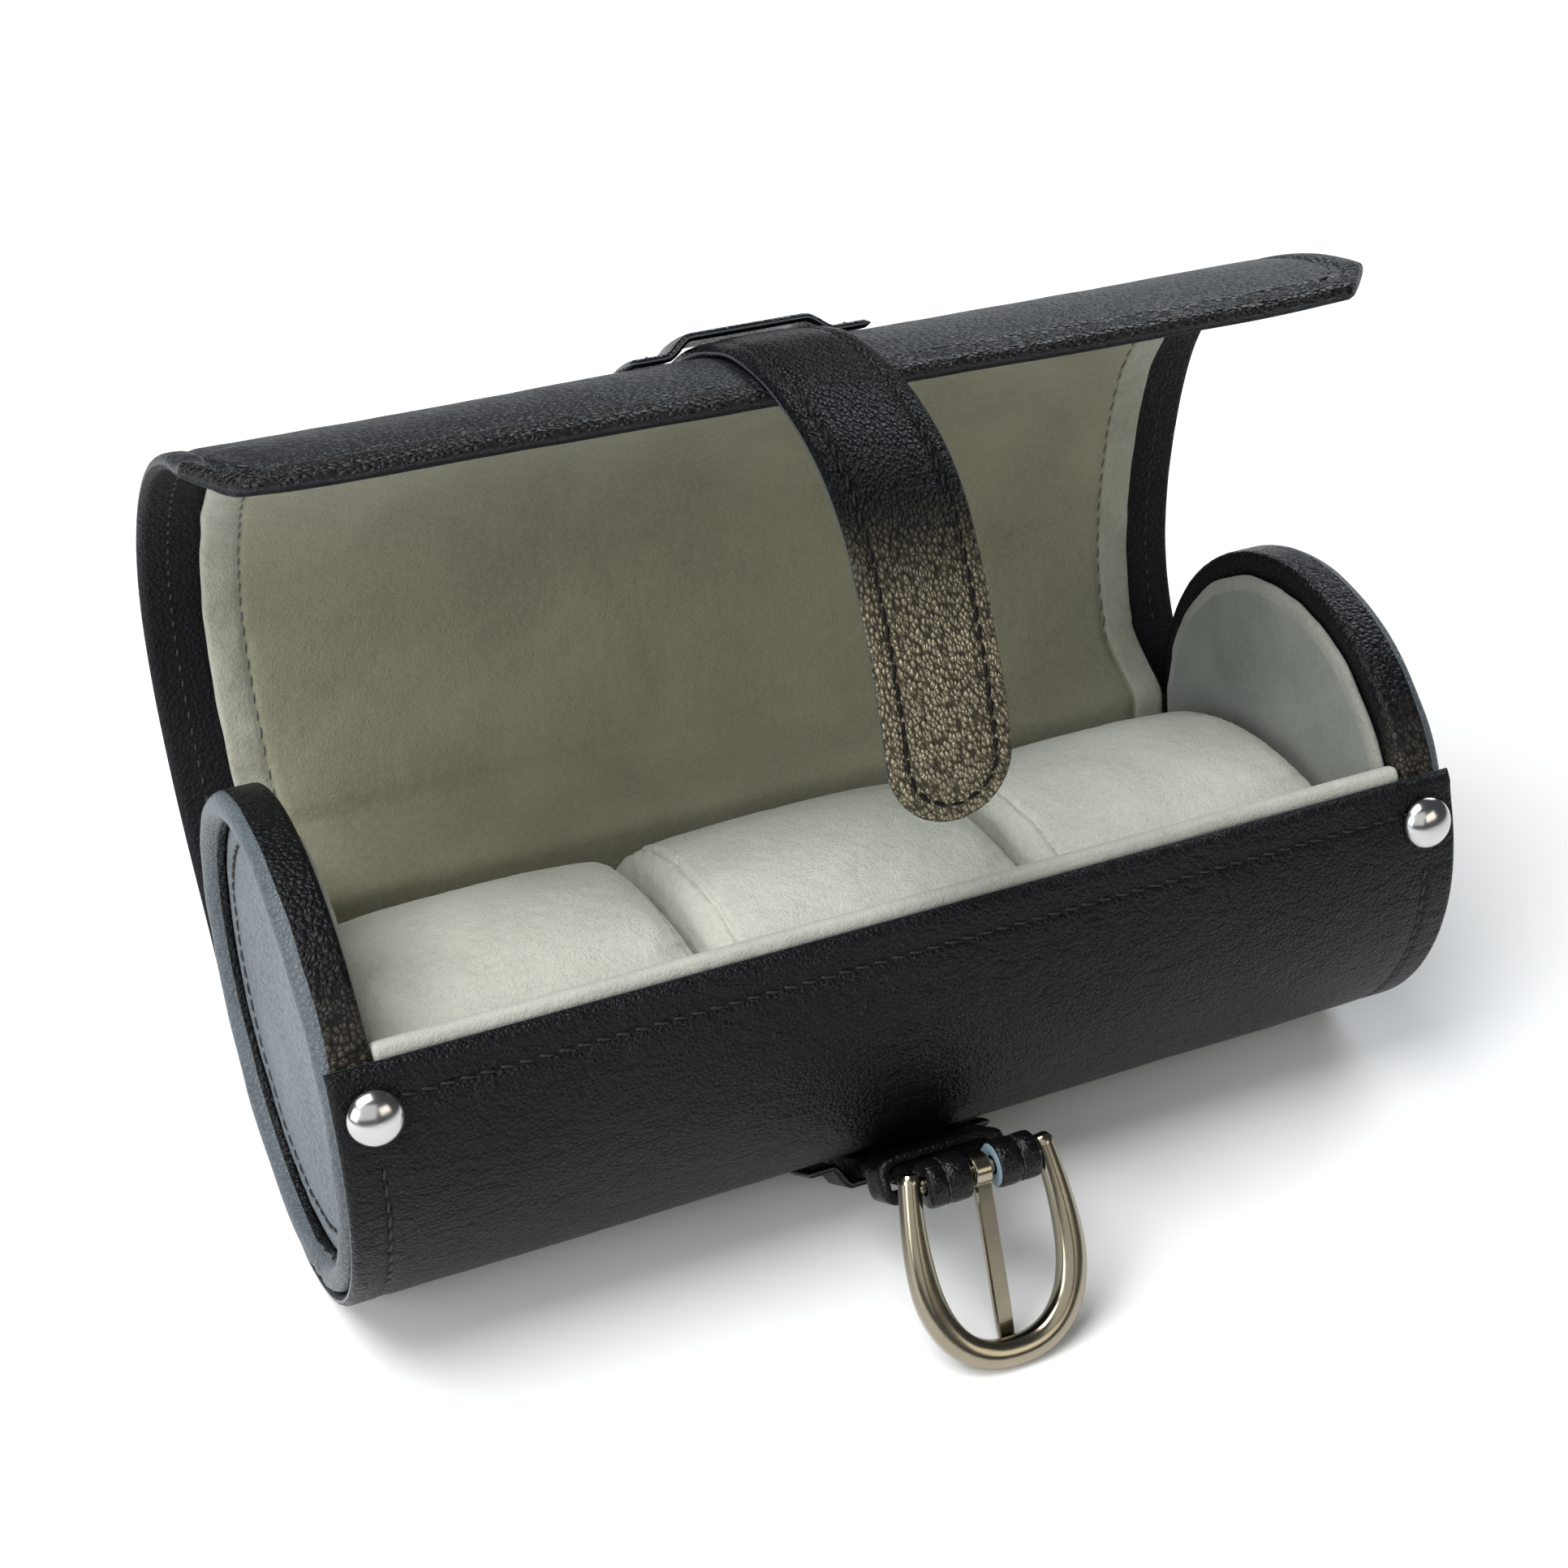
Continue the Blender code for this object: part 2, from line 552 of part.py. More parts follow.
def build_buckle():
    """U-shaped frame, its bar and the prong that turns on the bar."""
    bar = bar_place()
    frame_matrix = strip_frame(bar, FRAME_HEADING)
    # in the frame's own axes the U lies in the first and third, running along -third
    route = [(-FRAME_HALF_TOP, FRAME_HEAD), (-FRAME_HALF_TOP, -1.5 * MM),
             (-FRAME_HALF_TOP - 0.7 * MM, -5.5 * MM)]
    turn_steps = 14
    for i in range(turn_steps + 1):
        angle = math.pi * i / turn_steps
        route.append((-FRAME_HALF_WIDE * math.cos(angle),
                      -FRAME_WIDE_AT - (FRAME_LENGTH - FRAME_WIDE_AT) * math.sin(angle)))
    route += [(-x, along) for x, along in reversed(route[:3])]
    curve = bpy.data.curves.new("buckle_frame", "CURVE")
    curve.dimensions = "3D"
    curve.bevel_depth = FRAME_WIRE
    curve.bevel_resolution = 2
    curve.use_fill_caps = True
    spline = curve.splines.new("POLY")
    spline.points.add(len(route) - 1)
    for point, (x, along) in zip(spline.points, route):
        point.co = (x, 0.0, along, 1.0)
    mesh = mesh_from_curve(curve, 0.01 * MM)
    frame = add_object("buckle_frame", mesh, GUNMETAL, frame_matrix)
    bar_length = 2 * (FRAME_HALF_TOP + 0.4 * MM)
    across = Matrix.Translation((0, bar[0], bar[1])) @ Matrix.Rotation(math.pi / 2, 4, "Y")
    cut(frame, cylinder("bar_bore", BAR_RADIUS + GAP, bar_length + 2 * GAP, across, None, 20))
    cylinder("buckle_bar", BAR_RADIUS, bar_length, across, GUNMETAL, 16)

    # the prong lies on the frame's outer face, which looks back towards the case
    ahead, out = direction(FRAME_HEADING), outward(FRAME_HEADING)

    def at(along, up):
        return bar + ahead * along + out * up

    eye, hole = 2.9 * MM, BAR_RADIUS + GAP
    rest = -(FRAME_WIRE + GAP)
    reach = FRAME_LENGTH - 0.6 * MM
    meet = math.asin(PRONG_THICK / 2 / eye)
    outline = []
    for i in range(17):
        angle = meet + (2 * math.pi - 2 * meet) * i / 16
        outline.append(at(eye * math.cos(angle), eye * math.sin(angle)))
    outline += [at(24 * MM, -PRONG_THICK / 2), at(reach - 3.5 * MM, rest - PRONG_THICK),
                at(reach, rest - PRONG_THICK), at(reach, rest), at(reach - 3.2 * MM, rest),
                at(24.5 * MM, PRONG_THICK / 2)]
    ring = [at(hole * math.cos(2 * math.pi * i / 16), hole * math.sin(2 * math.pi * i / 16))
            for i in range(16)]
    prism("buckle_prong", outline, -PRONG_WIDTH / 2, PRONG_WIDTH / 2, GUNMETAL, holes=(ring,))


def main():
    wrap = build_case()
    for side, word in ((-1, "left"), (1, "right")):
        core = build_cap(side, word)
        band = parts.objects[f"cap_band_{word}"]
        build_rivet(side, word, (wrap, band, core))
    build_pillows()
    places = lid_sections()
    build_lid(places)
    build_lid_strap(places)
    build_free_strap(places)
    build_keepers(places)
    build_billet()
    build_buckle()
    for obj in parts.objects:
        obj.data.shade_smooth()
        obj.data.set_sharp_from_angle(angle=math.radians(35))


main()
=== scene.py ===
"""Looks of a round leather watch roll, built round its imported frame.

Lengths are in metres. +Z is up, X runs along the tube and the front is -Y.
"""

import math

import bmesh
import bpy
import numpy as np
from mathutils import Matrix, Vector, noise


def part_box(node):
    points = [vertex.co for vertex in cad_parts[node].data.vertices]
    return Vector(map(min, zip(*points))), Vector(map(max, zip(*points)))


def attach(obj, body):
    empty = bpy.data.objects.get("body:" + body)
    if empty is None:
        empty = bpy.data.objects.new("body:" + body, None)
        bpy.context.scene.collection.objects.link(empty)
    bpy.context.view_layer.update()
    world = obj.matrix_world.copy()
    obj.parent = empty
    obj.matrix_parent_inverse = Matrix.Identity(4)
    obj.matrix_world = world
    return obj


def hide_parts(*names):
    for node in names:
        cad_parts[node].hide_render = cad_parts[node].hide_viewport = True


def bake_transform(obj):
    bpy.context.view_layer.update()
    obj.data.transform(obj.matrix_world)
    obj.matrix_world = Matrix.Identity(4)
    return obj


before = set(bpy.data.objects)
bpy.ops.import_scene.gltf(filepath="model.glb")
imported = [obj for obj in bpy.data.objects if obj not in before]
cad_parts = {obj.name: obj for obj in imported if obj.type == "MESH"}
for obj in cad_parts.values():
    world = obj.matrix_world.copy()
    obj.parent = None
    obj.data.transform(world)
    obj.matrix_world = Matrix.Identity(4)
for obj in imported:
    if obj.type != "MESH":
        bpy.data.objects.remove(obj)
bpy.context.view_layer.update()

# ---- dimensions, as in the frame ----------------------------------------------
MM = 0.001
AXIS_Z = 44.0 * MM
HALF_LENGTH = 100 * MM
TUBE_RADIUS = 44.4 * MM
WRAP_THICK = 2.0 * MM
FRONT_EDGE_DEG = 31.0
BACK_JOIN_DEG = 204.0            # where the lid's leather takes over from the case's
LID_THICK = 2.4 * MM
LID_HINGE = (47.0 * MM, AXIS_Z - 5.0 * MM)
LID_HEADING = 131.5
LID_LENGTHS = (45.5 * MM, 47.8 * MM, 47.4 * MM)
LID_TURNS = (42.0, 45.0, 45.0)
LID_TOTAL = sum(LID_LENGTHS)
LINING_HALF = 90 * MM
STRAP_HALF = 10.5 * MM
STRAP_THICK = 2.0 * MM
NOSE_LENGTH = 16.0 * MM
NOSE_TURN = 20.0
TONGUE_ARCS = ((20.0 * MM, 36.0), (42.0 * MM, 20.0))
KEEPER_AT = 12.0 * MM
BILLET_DEG = -54.0
BILLET_HEADING = 35.0
BILLET_THICK = 3.4 * MM
BILLET_HALF = 9.5 * MM
BAR_AT = 38.5 * MM
FRAME_HEADING = -58.5
FRAME_LENGTH = 30.9 * MM


# ---- side-view geometry: points are (y, z) ------------------------------------
def around(radius, degrees):
    angle = math.radians(degrees)
    return Vector((-radius * math.cos(angle), AXIS_Z + radius * math.sin(angle)))


def direction(heading):
    angle = math.radians(heading)
    return Vector((-math.cos(angle), math.sin(angle)))


def outward(heading):
    angle = math.radians(heading)
    return Vector((math.sin(angle), math.cos(angle)))


def walk(start, heading, length, turn, distance):
    now = heading - turn * distance / length
    middle = math.radians((heading - now) / 2)
    chord = distance * (math.sin(middle) / middle if abs(middle) > 1e-9 else 1.0)
    return Vector(start) + direction((heading + now) / 2) * chord, now


def spot_on(degrees, radius):
    """A place on a circle, as two numbers."""
    angle = math.radians(degrees)
    return radius * math.cos(angle), radius * math.sin(angle)


def squared(degrees, wide, wide_power, tall, tall_power):
    """A point on a rounded box: powers below 1 square its outline up."""
    c, d = spot_on(degrees, 1)
    return (wide * math.copysign(abs(c) ** wide_power, c),
            tall * math.copysign(abs(d) ** tall_power, d))


def bell(value, middle, width):
    """1 at the middle, falling away on both sides."""
    return math.exp(-((value - middle) / width) ** 2)


def from_angle(degrees, middle):
    """Difference of two angles, from -180 to 180."""
    return (degrees - middle + 180) % 360 - 180


def smooth(value):
    value = min(1.0, max(0.0, value))
    return value * value * (3 - 2 * value)


def rough(x, y, z, size=1.0):
    """Smooth noise from -1 to 1 whose features are about size across."""
    return noise.noise(Vector((x / size, y / size, z / size)))


class Track:
    """A curve in the side view, looked up by the distance along it."""

    def __init__(self, points, start=0.0):
        self.points = [Vector(p) for p in points]
        self.at = [start]
        for first, second in zip(self.points, self.points[1:]):
            self.at.append(self.at[-1] + (second - first).length)

    def __call__(self, s):
        k = min(max(int(np.searchsorted(self.at, s)) - 1, 0), len(self.at) - 2)
        share = (s - self.at[k]) / (self.at[k + 1] - self.at[k])
        first, second = self.points[k], self.points[k + 1]
        ahead = (self.points[min(k + 2, len(self.at) - 1)] - self.points[max(k - 1, 0)])
        heading = math.degrees(math.atan2(ahead.y, -ahead.x))
        return first.lerp(second, share), heading


def bezier(first, second, third, fourth, steps=40):
    line = []
    for i in range(steps + 1):
        t = i / steps
        line.append(first * (1 - t) ** 3 + second * 3 * t * (1 - t) ** 2
                    + third * 3 * t * t * (1 - t) + fourth * t ** 3)
    return line


def lid_arc(s):
    """Point and heading on the middle of the lid's leather, s along from the hinge."""
    point, heading = Vector(LID_HINGE), LID_HEADING
    for number, (length, turn) in enumerate(zip(LID_LENGTHS, LID_TURNS)):
        if s <= length or number == 2:
            return walk(point, heading, length, turn, s)
        point, heading = walk(point, heading, length, turn, length)
        s -= length


RISE_END = 8 * MM                 # below this the lid's leather curves in to the case
rise_top, rise_heading = lid_arc(RISE_END)
rise_foot = around(TUBE_RADIUS - WRAP_THICK / 2, BACK_JOIN_DEG)
rise = Track(bezier(rise_foot, rise_foot + direction(BACK_JOIN_DEG - 90) * 7.5 * MM,
                    rise_top - direction(rise_heading) * 7.5 * MM, rise_top))
RISE_START = RISE_END - rise.at[-1]


def lid_track(s):
    return lid_arc(s) if s >= RISE_END else rise(s - RISE_START)


def lid_lean(s, x):
    """The soft lid hangs a little askew: how far it is out of true, in y and z."""
    share, side = s / LID_TOTAL, x / HALF_LENGTH
    back = bell(share, 0.36, 0.22)
    dy = -4.3 * MM * side * back
    dz = (-1.5 * smooth(share / 0.7) * side - 1.0 * smooth((share - 0.78) / 0.2) * side
          + 0.25 * smooth(share / 0.7)) * MM
    return dy, dz


# ---- meshes -------------------------------------------------------------------
def keep_places(mesh):
    """Stores each vertex's place at rest, so that a pattern stays put on leather that bends."""
    if "rest_place" in mesh.attributes:
        mesh.attributes.remove(mesh.attributes["rest_place"])
    places = mesh.attributes.new("rest_place", "FLOAT_VECTOR", "POINT")
    places.data.foreach_set("vector", [c for vertex in mesh.vertices for c in vertex.co])


class Form:
    """Vertices and faces of one piece, gathered before its mesh is made."""

    def __init__(self):
        self.verts, self.faces, self.slots = [], [], []

    def add(self, rows, slot=0, around_row=False, around_rows=False, slot_at=None):
        """A grid of points joined into quads; returns the index of each point."""
        base, wide = len(self.verts), len(rows[0])
        for row in rows:
            self.verts.extend(tuple(p) for p in row)
        index = [[base + i * wide + j for j in range(wide)] for i in range(len(rows))]
        pairs = list(zip(index, index[1:])) + ([(index[-1], index[0])] if around_rows else [])
        for i, (row, ahead) in enumerate(pairs):
            for j in range(wide if around_row else wide - 1):
                k = (j + 1) % wide
                self.face((row[j], row[k], ahead[k], ahead[j]),
                          slot if slot_at is None else slot_at(i, j))
        return index

    def face(self, corners, slot=0):
        self.faces.append(corners)
        self.slots.append(slot)

    def slab(self, top, bottom, slot=0, edge_slot=None, under_slot=None, slot_at=None):
        """Two facing grids and the walls between their borders."""
        high = self.add(top, slot, slot_at=slot_at)
        low = self.add(bottom, slot if under_slot is None else under_slot)

        def border(index):
            last, wide = len(index) - 1, len(index[0]) - 1
            return (index[0][:-1] + [row[wide] for row in index[:-1]]
                    + index[last][:0:-1] + [row[0] for row in index[:0:-1]])
        self.join(border(high), border(low), slot if edge_slot is None else edge_slot)

    def join(self, first, second, slot):
        """A band of faces between two closed lines of points."""
        for j in range(len(first)):
            k = (j + 1) % len(first)
            self.face((first[j], first[k], second[k], second[j]), slot)

    def tube(self, rings, slot=0):
        """Rings of points joined one to the next, closed at both ends."""
        index = self.add(rings, slot, around_row=True)
        self.face(tuple(index[0]), slot)
        self.face(tuple(index[-1]), slot)

    def turn(self, count, line_at, slot_at=None):
        """A solid of revolution: line_at gives its profile at each number of degrees."""
        index = self.add([line_at(360 * k / count) for k in range(count)],
                         around_rows=True, slot_at=slot_at)
        self.face(tuple(row[0] for row in index))
        self.face(tuple(row[-1] for row in index))

    def capsule(self, centre, along, out, length, radius, slot=1):
        """One stitch of thread: a short rounded rod, a little flattened."""
        across = along.cross(out).normalized()
        rings = []
        for share, wide in ((-1, 0.35), (-0.8, 0.85), (-0.35, 1.0), (0.35, 1.0), (0.8, 0.85),
                            (1, 0.35)):
            middle = centre + along * length / 2 * share - out * radius * 0.5 * share ** 4
            rings.append([middle + (across * math.cos(a) + out * math.sin(a) * 0.9)
                          * radius * wide for a in (0, 1.047, 2.094, 3.142, 4.189, 5.236)])
        self.tube(rings, slot)

    def stitches(self, surface, path, pitch=3.1 * MM, length=2.5 * MM, radius=0.30 * MM,
                 slot=1, tilt=0.16):
        """Thread laid along a path of (s, x) places on a surface."""
        spots, total = [], [0.0]
        for (s0, x0), (s1, x1) in zip(path, path[1:]):
            count = max(1, round(math.hypot(s1 - s0, x1 - x0) / (0.6 * MM)))
            for i in range(count):
                spots.append((s0 + (s1 - s0) * i / count, x0 + (x1 - x0) * i / count))
        spots.append(path[-1])
        places = [surface(s, x, 0.0) for s, x in spots]
        for first, second in zip(places, places[1:]):
            total.append(total[-1] + (second - first).length)
        count = int(total[-1] / pitch)
        for number in range(count):
            mark = (number + 0.5) * total[-1] / max(count, 1)
            k = min(max(int(np.searchsorted(total, mark)) - 1, 0), len(places) - 2)
            share = (mark - total[k]) / max(total[k + 1] - total[k], 1e-9)
            s = spots[k][0] + (spots[k + 1][0] - spots[k][0]) * share
            x = spots[k][1] + (spots[k + 1][1] - spots[k][1]) * share
            centre = places[k].lerp(places[k + 1], share)
            before, after = places[max(k - 2, 0)], places[min(k + 3, len(places) - 1)]
            out = (surface(s, x, 1 * MM) - centre).normalized()
            along = (after - before).normalized()
            along = (along + along.cross(out) * tilt).normalized()
            self.capsule(centre + out * radius * 0.15, along, out, length, radius, slot)

    def make(self, name, materials, sharp=None):
        mesh = bpy.data.meshes.new(name)
        mesh.from_pydata(self.verts, [], self.faces)
        form = bmesh.new()
        form.from_mesh(mesh)
        for face, slot in zip(form.faces, self.slots):
            face.material_index = slot
        bmesh.ops.recalc_face_normals(form, faces=form.faces)
        form.to_mesh(mesh)
        form.free()
        for material in materials:
            mesh.materials.append(material)
        mesh.shade_smooth()
        if sharp is not None:
            mesh.set_sharp_from_angle(angle=math.radians(sharp))
        keep_places(mesh)
        obj = bpy.data.objects.new(name, mesh)
        bpy.context.scene.collection.objects.link(obj)
        return obj


def settle(piece, node, body=None):
    """Hide the frame's node that a piece stands for, and hang the piece on its body's empty when a
    body is given.
    """
    if body is not None:
        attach(piece, body)
    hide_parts(node)


def spaced(low, high, step, seams=(), soft_low=True, soft_high=True):
    """Places from low to high, closer together at seams and at rounded edges."""
    count = max(2, round((high - low) / step))
    places = [low + (high - low) * i / count for i in range(count + 1)]
    for seam in seams:
        places += [seam + d * MM for d in (-1.3, -0.8, -0.45, -0.2, 0, 0.2, 0.45, 0.8, 1.3)]
    near = (0.12, 0.35, 0.7, 1.2, 1.8)
    if soft_low:
        places += [low + d * MM for d in near]
    if soft_high:
        places += [high - d * MM for d in near]
    kept = []
    for place in sorted(p for p in places if low <= p <= high):
        if not kept or place - kept[-1] > 0.09 * MM:
            kept.append(place)
    kept[-1] = high
    return kept


def edge_share(distance, radius):
    """How full a rounded edge is at a distance in from the outline, from 0.2 to 1."""
    if distance >= radius:
        return 1.0
    return max(0.2, math.sqrt(max(0.0, 1 - (1 - distance / radius) ** 2)))


def groove(distance, depth=0.42 * MM, width=0.70 * MM):
    """How far a sewn line pulls the surface in."""
    return -depth * bell(distance, 0, width)


def sheet_of(form, spots, surface, thickness, inside, radius, slot=0, edge_slot=None,
             under_slot=None, slot_of=None):
    """A leather or cloth sheet through a table of (s, x) places, with rounded edges."""
    top, bottom = [], []
    for row in spots:
        high, low = [], []
        for s, x in row:
            thick = thickness(s, x)
            full = edge_share(max(inside(s, x), 0.0), radius)
            high.append(surface(s, x, -thick / 2 * (1 - full)))
            low.append(surface(s, x, -thick / 2 * (1 + full)))
        top.append(high)
        bottom.append(low)
    form.slab(top, bottom, slot, edge_slot, under_slot,
              None if slot_of is None else lambda i, j: slot_of(*spots[i][j]))


# ---- materials ----------------------------------------------------------------
STILL = ("board_fibre", "root_hide")     # on frame nodes, which hold no rest places


class Nodes:
    """Short calls for building one material's node tree.

    Lengths are in millimetres here, and a colour is a tuple in thousandths.
    """

    def __init__(self, name, roughness, metallic=0.0, **sockets):
        self.material = bpy.data.materials.new(name)
        self.material.use_nodes = True
        self.tree = self.material.node_tree
        self.shader = self.tree.nodes["Principled BSDF"]
        self.shader.inputs["Roughness"].default_value = roughness
        self.shader.inputs["Metallic"].default_value = metallic
        for socket, value in sockets.items():
            self.shader.inputs[socket.replace("_", " ")].default_value = value
        if name in STILL:
            self.where = self.node("ShaderNodeTexCoord").outputs["Object"]
        else:
            self.where = self.node("ShaderNodeAttribute",
                                   attribute_name="rest_place").outputs["Vector"]
        self.height = None

    def node(self, kind, feeds=None, **values):
        """A node, its named inputs set to numbers or colours or linked to outputs."""
        made = self.tree.nodes.new(kind)
        for key, value in values.items():
            setattr(made, key, value)
        for name, value in (feeds or {}).items():
            socket = made.inputs[name]
            if isinstance(value, bpy.types.NodeSocket):
                self.tree.links.new(value, socket)
            elif isinstance(value, tuple):
                socket.default_value = (*(c / 1000 for c in value), 1.0)
            elif socket.type == "RGBA":
                socket.default_value = (value, value, value, 1.0)
            else:
                socket.default_value = value
        return made

    def scaled(self, size, stretch):
        return self.node("ShaderNodeMapping", {
            "Scale": [k / (size * MM) for k in stretch], "Vector": self.where}).outputs["Vector"]

    def noise(self, size, detail=3.0, stretch=(1, 1, 1), distortion=0.0, roughness=0.5):
        return self.node("ShaderNodeTexNoise", {
            "Scale": 1.0, "Detail": detail, "Roughness": roughness, "Distortion": distortion,
            "Vector": self.scaled(size, stretch)}).outputs["Fac"]

    def cells(self, size, stretch, feature="DISTANCE_TO_EDGE"):
        """Voronoi cells about size across, their borders made uneven by noise."""
        place = self.scaled(size, stretch)
        uneven = self.node("ShaderNodeTexNoise", {"Scale": 0.7, "Detail": 2.0, "Vector": place})
        bent = self.node("ShaderNodeMixRGB", {
            "Fac": 0.35, "Color1": place, "Color2": uneven.outputs["Color"]},
            blend_type="LINEAR_LIGHT")
        return self.node("ShaderNodeTexVoronoi", {
            "Scale": 1.0, "Vector": bent.outputs["Color"]}, feature=feature).outputs["Distance"]

    def ramp(self, value, *stops):
        """Grey from one (place, brightness) stop to the next."""
        made = self.node("ShaderNodeValToRGB", {"Fac": value})
        while len(made.color_ramp.elements) < len(stops):
            made.color_ramp.elements.new(0.5)
        for element, (place, grey) in zip(made.color_ramp.elements, stops):
            element.position = place
            element.color = (grey, grey, grey, 1.0)
        return made.outputs["Color"]

    def mix(self, share, first, second, mode="MIX"):
        return self.node("ShaderNodeMixRGB", {
            "Fac": share, "Color1": first, "Color2": second}, blend_type=mode).outputs["Color"]

    def times(self, first, second):
        return self.node("ShaderNodeMath", {0: first, 1: second},
                         operation="MULTIPLY").outputs["Value"]

    def along(self, axis, low, high):
        """0 to 1 as one coordinate goes from low to high."""
        parts = self.node("ShaderNodeSeparateXYZ", {"Vector": self.where})
        return self.node("ShaderNodeMapRange", {
            "From Min": low * MM, "From Max": high * MM, "Value": parts.outputs[axis]},
            interpolation_type="SMOOTHSTEP").outputs["Result"]

    def bump(self, value, depth):
        made = self.node("ShaderNodeBump", {
            "Strength": 1.0, "Distance": depth * MM, "Height": value})
        if self.height is not None:
            self.tree.links.new(self.height, made.inputs["Normal"])
        self.height = made.outputs["Normal"]

    def done(self, **outputs):
        """Feed the shader and hand over the material."""
        for name, output in (*outputs.items(), ("Normal", self.height)):
            self.tree.links.new(output, self.shader.inputs[name.replace("_", " ")])
        return self.material


def brighter(colour, times):
    return tuple(min(1000.0, c * times) for c in colour)


def leather(name, dark, light, grain, depth, gloss, crease=0.5, stretch=(1, 1, 1),
            shine=0.3, painted_highlight=None):
    """Black leather: pebbled cells, finer pores, soft creases, uneven polish, painted shade in the
    cracks and painted highlights on the tops.
    """
    n = Nodes(name, 0.45, Specular_IOR_Level=shine)
    cracks = n.ramp(n.cells(grain, stretch), (0.0, 0.0), (0.30, 1.0))
    domes = n.ramp(n.cells(grain, stretch, "F1"), (0.0, 1.0), (0.35, 0.85), (0.95, 0.0))
    tops = n.mix(0.5, domes, cracks, "MULTIPLY")
    n.bump(n.noise(grain * 6, 5.0, (0.6, 1.4, 1.2), 1.5), depth * 2.2 * crease)
    n.bump(tops, depth)
    n.bump(n.noise(grain * 0.35, 2.0), depth * 0.30)
    cloudy = n.ramp(n.noise(28), (0.3, 0.0), (0.75, 0.5))
    # painted shade and highlight: the colour is darker in the grain's cracks and lighter on the
    # pebble tops
    colour = n.mix(cloudy, n.mix(tops, dark, light), brighter(light, 1.4))
    outputs = {}
    if painted_highlight is not None:
        # painted highlight: a bronze reflection tinted into the colour, brightest on the tops of
        # the grain and growing along one axis; the metallic weight follows the same share
        axis, low, high, tint, amount = painted_highlight
        wear_and_highlight = n.times(n.along(axis, low, high), amount)
        uneven = n.ramp(n.noise(grain * 4), (0.35, 0.70), (0.65, 1.0))
        painted_glints = n.times(n.ramp(tops, (0.20, 0.0), (0.80, 1.0)), uneven)
        colour = n.mix(wear_and_highlight, colour, n.mix(painted_glints, brighter(tint, 0.15), tint))
        outputs["Metallic"] = wear_and_highlight
    polish = n.mix(n.noise(9), gloss[0], gloss[1])
    return n.done(Base_Color=colour, Roughness=n.mix(tops, gloss[1] + 0.15, polish), **outputs)


def napped(name, dark, light, patch, fibre, depth, sheen):
    """Velvet or suede: short nap, soft patches where it has been brushed."""
    n = Nodes(name, 0.92, Sheen_Weight=sheen, Sheen_Roughness=0.45, Specular_IOR_Level=0.15)
    fine = n.noise(fibre, 2.0)
    n.bump(n.noise(2.6), depth * 1.6)
    n.bump(fine, depth)
    brushed = n.ramp(n.noise(patch, 4.0, distortion=0.4), (0.32, 0.0), (0.68, 1.0))
    specks = n.ramp(n.noise(1.1, roughness=0.6), (0.35, 0.0), (0.7, 0.45))
    tone = tuple((a + b) / 2 for a, b in zip(dark, light))
    colour = n.mix(specks, n.mix(brushed, dark, light), brighter(tone, 1.25))
    colour = n.mix(n.ramp(fine, (0.3, 0.22), (0.6, 0.0)), colour, brighter(tone, 0.55))
    return n.done(Base_Color=colour)


def metal(name, colour, tint, roughness):
    """Polished plating with faint hand marks."""
    n = Nodes(name, roughness, 1.0)
    n.bump(n.noise(0.5, 2.0), 0.004)
    marks = n.noise(2.5, 4.0, (1, 3, 1))
    return n.done(Base_Color=n.mix(n.noise(7, 2.0), colour, tint),
                  Roughness=n.ramp(marks, (0.3, roughness * 0.9), (0.8, roughness * 1.15)))


def plain(name, colour, second, size, roughness, depth, shine=0.4):
    """Thread, edge paint and board: a fibre pattern at the given size."""
    n = Nodes(name, roughness, Specular_IOR_Level=shine)
    fibre = n.noise(size)
    n.bump(fibre, depth)
    return n.done(Base_Color=n.mix(fibre, colour, second))


CASE_HIDE = leather("case_hide", (1.8, 2, 2.4), (4.5, 5.2, 6.5), 0.8, 0.22, (0.20, 0.31), 1.6,
                    shine=0.14)
LID_HIDE = leather("lid_hide", (3, 3.5, 4), (9, 11, 14), 0.9, 0.26, (0.26, 0.36), 0.8,
                   (0.7, 1.25, 1.0), shine=0.26)
STRAP_LOOK = ((1.2, 1.4, 1.6), (3.5, 4, 4.6), 0.95, 0.50, (0.18, 0.27), 0.4, (1.3, 1.0, 1.0), 0.075)
STRAP_HIDE = leather("strap_hide", *STRAP_LOOK)
# the tongue's lower part has a painted bronze highlight on the tops of its grain, growing from 137
# mm high down to 114 mm
TONGUE_HIDE = leather("tongue_hide", *STRAP_LOOK, ("Z", 137, 114, (420, 365, 250), 0.70))
HEM_HIDE = leather("hem_hide", (1.5, 1.5, 1.8), (5, 5, 5.5), 1.0, 0.44, (0.17, 0.26), 0.5,
                   (0.8, 1.2, 1.2), shine=0.24)
# the cap bands carry a painted brown reflection, tinted in towards the front from 26 to 40 mm ahead
# of the axis
CAP_HIDE = leather("cap_hide", (1.5, 1.8, 2.2), (4.5, 5, 6.2), 1.0, 0.24, (0.19, 0.28), 0.7,
                   shine=0.14, painted_highlight=("Y", -26, -40, (160, 140, 100), 0.5))
